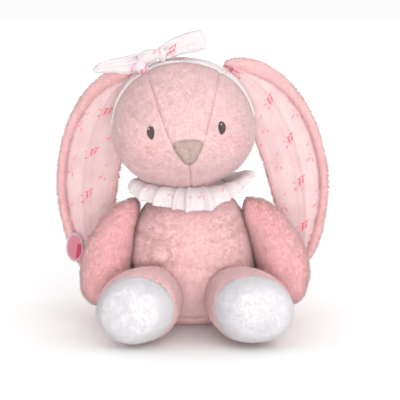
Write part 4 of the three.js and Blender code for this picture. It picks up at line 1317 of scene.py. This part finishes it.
# ---------------------------------------------------------------- headband and bow
def strip(name, v, facing, thickness, node, body="head", material=GAUZE, print_at=(0.0, 0.0)):
    """A cloth strip from a grid of points: rows along it, columns across it, with its uv in metres."""
    rows, cols = v.shape[:2]
    across = np.repeat(run_along(v[rows // 2])[None], rows, 0) + print_at[0]
    length = np.repeat(run_along(v[:, cols // 2])[:, None], cols, 1) + print_at[1]
    verts = v.reshape(-1, 3)
    faces = grid_faces(rows, cols)
    normals = grid_normals(verts, faces)
    if (normals * np.broadcast_to(facing, v.shape).reshape(-1, 3)).sum(1).mean() < 0:
        faces, normals = faces[:, ::-1], -normals
    uv = np.stack([across, length], -1).reshape(-1, 2)
    verts, faces, uv = thickened(verts, faces, normals, thickness, uv)
    ob = make(name, verts, faces, [material], uv=uv)
    dress(ob, body, (node,))
    return ob


def headband():
    """The band over the head, its edges folded under, laid on the plush by lines towards the head's middle."""
    rows, cols = 150, 21
    angle = np.radians(np.linspace(-91, 91, rows))
    c = np.linspace(-1, 1, cols)
    v = np.zeros((rows, cols, 3))
    facing = np.zeros((rows, cols, 3))
    for i, a in enumerate(angle):
        out = np.array([math.sin(a), 0, math.cos(a)])
        tuck = 0.0022 * smoothstep(np.array(abs(a)), 1.45, 1.58)  # both ends sink into the plush behind the ears
        wide = 0.0083 - 0.0012 * math.cos(3 * a)
        for j, s in enumerate(c):
            at = HEAD_MID + 0.11 * out
            y = band_middle(at) + s * wide
            start = leaned(np.array([at[0], y, at[2]]))
            ray = unit(leaned(np.array([HEAD_MID[0], y, HEAD_MID[2]])) - start)
            hit = head_tree.ray_cast(Vector(start), Vector(ray))[0]
            if hit is None:
                hit = head_tree.find_nearest(Vector(start))[0]
            fold = 0.0011 * math.exp(-(((abs(s) - 0.72) / 0.10) ** 2)) + 0.0009 * (1 - s * s)
            crease = 0.0005 * math.sin(9 * a + 3 * s) * (1 - s * s)
            v[i, j] = np.array(hit) - ray * (0.0007 + fold + crease - tuck)
            facing[i, j] = -ray
    ob = strip("headband_cloth", v, facing, 0.0009, "headband")


headband()
BOW_Y = -0.0165
FAN = 2.6  # pleats across a loop


def loop(side, path, widths, depth, seed, print_at):
    """One bow loop: a strip that leaves the knot in pleats, opens out, turns back and returns behind itself."""
    rows, cols = 110, 34
    s = np.linspace(0, 1, rows)
    t = (1 - np.abs(1 - 2 * s)) ** 0.92
    centre = catmull(np.array(path, float) / 1000, 300)
    d = unit(np.gradient(centre, axis=0))
    at = np.stack([np.interp(t, np.linspace(0, 1, 300), centre[:, k]) for k in (0, 1)], 1)
    dirs = np.stack([np.interp(t, np.linspace(0, 1, 300), d[:, k]) for k in (0, 1)], 1)
    perp = np.stack([-dirs[:, 1], dirs[:, 0]], 1)
    half = along(np.array(widths) / 1000, t)
    thick = depth * np.sqrt(np.clip(1 - t**5, 0, 1)) * (0.35 + 0.65 * smoothstep(t, 0, 0.45))
    front = np.where(s < 0.5, -1.0, 1.0)
    c = np.linspace(-1, 1, cols)
    pleat = np.cos(FAN * math.pi * c[None, :] + seed) * (0.0022 * np.exp(-t[:, None] * 3.5) + 0.0003)
    puff = (1 - c**2)[None, :] ** 0.6 * 0.0016 * smoothstep(t, 0.1, 0.6)[:, None]
    x = at[:, :1] + perp[:, :1] * half[:, None] * c[None, :]
    z = at[:, 1:] + perp[:, 1:] * half[:, None] * c[None, :]
    y = BOW_Y + (front * thick)[:, None] + front[:, None] * (pleat + puff)
    rounding = 0.0030 * np.cos(c * math.pi * 0.5)[None, :] * (t[:, None] ** 3)
    pts = np.stack([x + dirs[:, :1] * rounding, y, z + dirs[:, 1:] * rounding], -1)
    rough = noise(pts.reshape(-1, 3), 0.012, seed).reshape(rows, cols)
    pts[..., 1] += 0.0010 * rough * smoothstep(t, 0.05, 0.5)[:, None]
    facing = front[:, None, None] * np.array([0.0, 1.0, 0.0])
    ob = strip(f"bow_loop_cloth_{side}", pts, facing, 0.0009, f"bow_loop_{side}", print_at=print_at)


# each loop's middle line (x, z) and half-widths in mm, its half-thickness and its cut size in metres
loop("left", [(-29, 244), (-22, 247), (-13, 251.6), (-2, 255), (10.5, 257.6)], [5.5, 7.2, 7.8, 8.8, 8.6],
     0.0050, 31, (0.0, 0.0))
loop("right", [(-43, 239.5), (-50.5, 237), (-58, 234.8), (-68, 234.9), (-78, 233.3), (-85, 231)],
     [6.5, 7.8, 7.4, 5.8, 4.8, 3.2], 0.0042, 33, (0.012, 0.020))

# centre, half sizes (mm) and turn in degrees of each lobe
KNOT_LOBES = [((-37.5, -20, 243.2), (10.6, 6.6, 6.6), 17), ((-44.2, -19.5, 233.6), (6.6, 5.6, 5.6), -28),
              ((-25.8, -19, 245), (4.4, 5.6, 7.0), 12)]
KNOT_PRINT = (0.3, 0.3)


def knot():
    """The knot: three soft lobes of cloth rolled over one another, with folds running into them."""
    rows, cols = 40, 56
    s = np.linspace(0.03, math.pi - 0.03, rows)[:, None]
    a = turns(cols)[None]
    ball = np.stack([np.cos(s) + 0 * a, np.sin(s) * np.cos(a), np.sin(s) * np.sin(a)], -1).reshape(-1, 3)
    ball = np.vstack([ball, [[1, 0, 0], [-1, 0, 0]]])
    tri = closed_faces(rows, cols)
    if (vertex_normals(ball, tri) * ball).sum() < 0:
        tri = tri[:, ::-1]
    verts, faces = [], []
    for k, (centre, size, turn) in enumerate(KNOT_LOBES):
        folds = 1 + 0.05 * np.cos(9 * ball[:, 1] + 6 * ball[:, 2] + k) * (1 - ball[:, 0] ** 2)
        folds = folds + 0.03 * np.cos(17 * ball[:, 2] + 4 * ball[:, 0] + k)
        q = ball * folds[:, None] * size
        ct, st = math.cos(math.radians(turn)), math.sin(math.radians(turn))
        q = np.stack([q[:, 0] * ct - q[:, 2] * st, q[:, 1], q[:, 0] * st + q[:, 2] * ct], 1)
        verts.append((q + centre) / 1000)
        faces.append(tri + k * len(ball))
    blob = make("knot_blob", np.vstack(verts), np.vstack(faces))
    mod = blob.modifiers.new("weld", "REMESH")
    mod.mode = "VOXEL"
    mod.voxel_size = 0.0006
    settle(blob)
    v, t = arrays(blob)
    bpy.data.objects.remove(blob, do_unlink=True)
    v = relax(v, t, 2)
    ob = make("bow_knot_cloth", v, t, [GAUZE], uv=np.stack([v[:, 0], v[:, 2] - v[:, 1]], 1) + KNOT_PRINT)
    dress(ob, "head", ("bow_knot",))


knot()


# ---------------------------------------------------------------- ear label
def label():
    """An oval woven label, sewn flat on the right ear, with a stitched edge and a plain two-tone ground."""
    half_x, half_z = 0.0080, 0.0140
    low, high = (np.array(c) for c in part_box("ear_label"))
    c = (low + high) / 2
    count, rings = 72, 11
    a = turns(count)
    v = []
    for k in range(rings):
        f = 1 - k / (rings - 0.5)
        x, z = half_x * f * np.cos(a), half_z * f * np.sin(a)
        bulge = 0.0004 * (f < 0.86) + 0.0014 * (x / half_x) ** 2 - 0.0008 * np.sin(z * 160)
        v.append(np.stack([c[0] + x, c[1] - bulge, c[2] + z], 1))
    verts = np.vstack([*v, [[c[0], c[1] - 0.0004, c[2]]]])
    tri = domed_faces(rings, count)
    if vertex_normals(verts, tri)[-1][1] > 0:
        tri = tri[:, ::-1]
    n = vertex_normals(verts, tri)
    back = verts - n * 0.0007
    m = len(verts)
    i = np.arange(count)
    j = (i + 1) % count
    both = np.vstack([tri, tri[:, ::-1] + m, np.stack([i, j + m, j], 1), np.stack([i, i + m, j + m], 1)])
    middle = np.vstack([verts, back])[both].mean(1) - c
    radial = np.hypot(middle[:, 0] / half_x, middle[:, 2] / half_z)
    deep = (middle[:, 0] - 0.0022 - 0.12 * middle[:, 2] > 0.0) & (middle[:, 2] < 0.003) & (radial < 0.85)
    index = np.where(radial > 0.86, 0, np.where(deep, 2, 1))
    mats = [thread("label_edge", rgb(222, 196, 224), 5000), thread("label_ribbon_pink", rgb(244, 150, 158), 7000),
            thread("label_ribbon_deep", rgb(214, 70, 110), 7000)]
    ob = make("ear_label_ribbon", np.vstack([verts, back]), both, mats, index)
    dress(ob, "ear_right", ("ear_label",))


label()


# ---------------------------------------------------------------- base, back flap, pocket and pellet bag
base_cloth = woven("base_cloth_weave", rgb(214, 150, 146), rgb(230, 170, 165))


def base_panel():
    """The oval cloth that closes the body below."""
    count, rings, half = 96, 14, 0.0335
    a = turns(count)
    f = 1 - np.arange(rings)[:, None] / (rings - 0.4)
    v = np.stack([half * f * np.sin(a), -half * TORSO_DEPTH * f * np.cos(a), np.full((rings, count), 0.00005)], -1)
    verts = v.reshape(-1, 3)
    verts[:, 2] = 0.00004 + 0.00012 * (noise(verts, 0.006, 3) + 1) * 0.5
    faces = grid_faces(rings, count, True)
    n = np.tile([0, 0, -1.0], (len(verts), 1))
    if grid_normals(verts, faces)[:, 2].mean() > 0:
        faces = faces[:, ::-1]
    verts, faces, _ = thickened(verts, faces, n, 0.0005)
    verts[:, 2] = np.maximum(verts[:, 2], 0.0)
    ob = make("base_cloth", verts, faces, [base_cloth])
    dress(ob, "torso", ("base_panel",))


base_panel()


def back_surface(x, z, offset):
    """A point on the torso's back, `offset` metres out from the CAD cover."""
    half = np.interp(z, TORSO[:, 1], TORSO[:, 0]) + offset
    return np.stack([x, TORSO_DEPTH * np.sqrt(np.maximum(half**2 - x**2, 1e-9)), z], -1)


def patch(half_x, low_z, high_z, offset, rows, cols):
    """A grid of points over the torso's back, with each one's x and z."""
    x = np.linspace(-half_x, half_x, cols)[None] + np.zeros((rows, 1))
    z = np.linspace(high_z, low_z, rows)[:, None] + np.zeros((1, cols))
    return x, z, back_surface(x, z, offset)


FLAP_HALF, FLAP_LOW, FLAP_HIGH, FLAP_CORNER = 0.0255, 0.0315, 0.0895, 0.006


def back_flap():
    """The flap over the opening: puffed between its sewn edges, its two lower corners rounded."""
    x, z, pts = patch(FLAP_HALF, FLAP_LOW, FLAP_HIGH, 0.0044, 60, 60)
    edge = np.minimum(np.minimum(x + FLAP_HALF, FLAP_HALF - x), np.minimum(z - FLAP_LOW, FLAP_HIGH - z))
    pts[..., 1] += (0.0012 * smoothstep(edge, 0.0, 0.004) - 0.0009 * np.exp(-(((edge - 0.0045) / 0.0009) ** 2))
                    + 0.0005 * noise(pts.reshape(-1, 3), 0.014, 44).reshape(x.shape))
    straight_x, straight_z = FLAP_HALF - FLAP_CORNER, FLAP_LOW + FLAP_CORNER
    dx, dz = np.maximum(np.abs(x) - straight_x, 0), np.maximum(straight_z - z, 0)
    over = np.hypot(dx, dz)
    pull = np.where(over > FLAP_CORNER, FLAP_CORNER / np.maximum(over, 1e-9), 1.0)
    at_corner = (dx > 0) & (dz > 0)
    pts[..., 0] = np.where(at_corner, np.sign(x) * (straight_x + dx * pull), pts[..., 0])
    pts[..., 2] = np.where(at_corner, straight_z - dz * pull, pts[..., 2])
    flap = strip("back_flap_cloth", pts, (0, 1, 0), 0.0022, "back_flap", "back_flap", body_ground)
    pile("back_flap_pile", flap, "back_flap", body_fibres, per_mm2=1.1, length=0.0024, seed=111,
         mask=lambda p, n: np.where(n[:, 1] > -0.1, 1.0, 0.0))


back_flap()


def fastener(name, node, body, offset, outward, tall, wild, seed):
    """A strip of woven hooks or loops: its tape, and the field of short bristles on it."""
    _, _, pts = patch(0.020, 0.034, 0.040, offset, 14, 60)
    tape = woven(f"{name}_tape", rgb(232, 226, 224), rgb(246, 242, 240), 2400)
    ob = strip(name, pts, (0, outward, 0), 0.0006, node, body, tape)
    pile(f"{name}_bristles", ob, body, shades(name, (238, 234, 232), 0.1, 0.04), per_mm2=6.0,
         length=tall, width=0.00013, seed=seed, lean=0.2, clump=0.1, wild=wild,
         mask=lambda p, n: (n[:, 1] * outward > 0.5).astype(float))


fastener("loop_strip_tape", "loop_strip", "torso", 0.0009, 1, 0.0008, 0.6, 121)
fastener("hook_strip_tape", "hook_strip", "back_flap", 0.0026, -1, 0.0006, 0.1, 122)


def pocket():
    """The cotton pocket: sewn round the opening in the back, widening to hold the sound module."""
    cols, rows = 120, 40
    a = turns(cols)

    def frame_at(half_x, half_z, mid_z, power):
        c, s = np.cos(a), np.sin(a)
        k = (np.abs(c) ** power + np.abs(s) ** power) ** (-1 / power)
        return half_x * k * c, mid_z + half_z * k * s

    v = []
    for i in range(rows):
        f = i / (rows - 1)
        w = smoothstep(np.array(f), 0.0, 0.45)
        hx, hz = 0.0185 + (0.0287 - 0.0185) * w, 0.0205 + (0.0226 - 0.0205) * w
        x, z = frame_at(hx, hz, 0.063 + 0.001 * w, 7)
        rim_y = back_surface(x * 0.0185 / hx, 0.063 + (z - 0.063) * 0.0205 / hz, -0.0008)[..., 1]
        y = rim_y * (1 - f) + f * (-0.0022)
        pucker = 0.0006 * np.cos(34 * a + 2 * np.sin(5 * a)) * (1 - w) + 0.0003 * np.cos(13 * a + 9 * f)
        v.append(np.stack([x * (1 + pucker * 20), y, 0.063 + (z - 0.063) * (1 + pucker * 20)], 1))
    v = np.array(v)
    ends = []
    for k in range(1, 8):
        f = 1 - k / 8
        ring = v[-1].copy()
        ring[:, 0] *= f
        ring[:, 2] = 0.064 + (ring[:, 2] - 0.064) * f
        ends.append(ring)
    v = np.vstack([v, np.array(ends)])
    verts = v.reshape(-1, 3)
    faces = grid_faces(len(v), cols, True)
    n = grid_normals(verts, faces)
    verts, faces, _ = thickened(verts, faces, n, 0.0006)
    cotton = woven("pocket_cotton", rgb(236, 228, 220), rgb(248, 243, 237), 1500)
    ob = make("module_pocket_cloth", verts, faces, [cotton])
    dress(ob, "torso", ("module_pouch",))


pocket()


def pellet_bag():
    """The cotton bag of pellets in the seat, knobbly from them, with a seam round its middle."""
    rows, cols = 60, 110
    s = np.linspace(0.01, math.pi - 0.01, rows)[:, None]
    a = turns(cols)[None]
    p = np.stack([np.sin(s) * np.cos(a), np.sin(s) * np.sin(a), np.cos(s) + 0 * a], -1)
    size = np.array([0.0365, 0.0285, 0.0120])
    knobs = 0.012 * noise(p.reshape(-1, 3) * size, 0.0032, 131).reshape(rows, cols)
    r = 0.98 + knobs - 0.015 * np.exp(-((p[..., 2] / 0.06) ** 2))
    middle = np.array([0, 0, 0.018])
    verts = (p * r[..., None] * size).reshape(-1, 3) + middle
    verts = np.vstack([verts, [verts[:cols].mean(0), verts[-cols:].mean(0)]])
    tri = closed_faces(rows, cols)
    if (vertex_normals(verts, tri) * (verts - middle)).sum() < 0:
        tri = tri[:, ::-1]
    cotton = woven("pellet_bag_cotton", rgb(232, 224, 214), rgb(246, 240, 232), 1500)
    ob = make("pellet_bag_cloth", verts, tri, [cotton])
    dress(ob, "torso", ("pellet_bag",))


pellet_bag()


# ---------------------------------------------------------------- sound module: the CAD meshes with real materials
LOOKS = {
    "case_plastic": moulded("case_plastic", rgb(238, 238, 232), 0.38, 1400, 0.03),
    "button_plastic": moulded("button_plastic", rgb(214, 78, 74), 0.35, 1200, 0.05, coat=0.2),
    "board": moulded("board_laminate", rgb(38, 104, 70), 0.5, 2200, 0.12, coat=0.4),
    "switch_plastic": moulded("switch_plastic", rgb(38, 39, 43), 0.45, 1600, 0.1),
    "steel": moulded("plated_steel", rgb(196, 198, 202), 0.28, 2600, 0.08, metal=1.0),
    "magnet": moulded("magnet_ferrite", rgb(70, 72, 76), 0.5, 1800, 0.1, metal=0.6),
    "cone_paper": moulded("cone_paper", rgb(46, 45, 46), 0.85, 3200, 0.15),
}
for entry in frame["record"]["subparts"]:
    look = LOOKS.get(entry["material_slot"])
    if look is not None:
        node = NODES[entry["node"]]
        node.data.materials.clear()
        node.data.materials.append(look)


# ---------------------------------------------------------------- floor, light and camera
def camera(target, distance, elevation, lens):
    """A camera in front of the object, looking down on it by `elevation` degrees."""
    cam = bpy.data.objects.new("camera", bpy.data.cameras.new("camera"))
    e = math.radians(elevation)
    cam.location = Vector(target) + distance * Vector((0, -math.cos(e), math.sin(e)))
    cam.rotation_euler = (math.radians(90 - elevation), 0, 0)
    cam.data.lens = lens
    cam.data.sensor_width = 36
    cam.data.dof.use_dof = False
    SCENE.collection.objects.link(cam)
    SCENE.camera = cam


def softbox(name, place, aim, size, power, colour=(1, 1, 1)):
    data = bpy.data.lights.new(name, "AREA")
    data.shape = "RECTANGLE"
    data.size, data.size_y = size
    data.energy = power
    data.color = colour
    ob = bpy.data.objects.new(name, data)
    ob.location = place
    ob.rotation_euler = (Vector(aim) - Vector(place)).to_track_quat("-Z", "Y").to_euler()
    SCENE.collection.objects.link(ob)


camera((0.008, 0.0, 0.110), distance=1.3, elevation=10.0, lens=127.2)
softbox("key_softbox", (1.1, -1.4, 1.15), (0, 0, 0.1), (1.3, 1.3), 7.2, (1, 0.99, 0.98))
softbox("front_softbox", (0.2, -1.7, 0.3), (0, 0, 0.05), (1.0, 0.5), 5.6)
softbox("low_softbox", (0.0, -1.25, 0.12), (0, 0, 0.03), (0.3, 0.15), 2.9)
softbox("sweep_softbox", (0, 2.8, 1.7), (0, 3.2, 0), (5, 2), 40)
world = bpy.data.worlds.new("studio")
world.use_nodes = True
world.node_tree.nodes["Background"].inputs["Color"].default_value = (1, 1, 1, 1)
world.node_tree.nodes["Background"].inputs["Strength"].default_value = 0.97
SCENE.world = world
SCENE.view_settings.view_transform = "Standard"

paper = Nodes("studio_floor")
whites = [(0.3, (0.95, 0.95, 0.95, 1)), (0.7, (0.97, 0.97, 0.97, 1))]
paper.set(Base_Color=paper.ramp(paper.noise(paper.coords(), 3, 2), whites))
paper.shader.inputs["Roughness"].default_value = 0.9
corners = np.array([[-6, -6, 0], [6, -6, 0], [6, 6, 0], [-6, 6, 0]], float)
floor = make("floor", corners, np.array([[0, 1, 2, 3]]), [paper.material], smooth=False)
floor.location.z = -0.0002
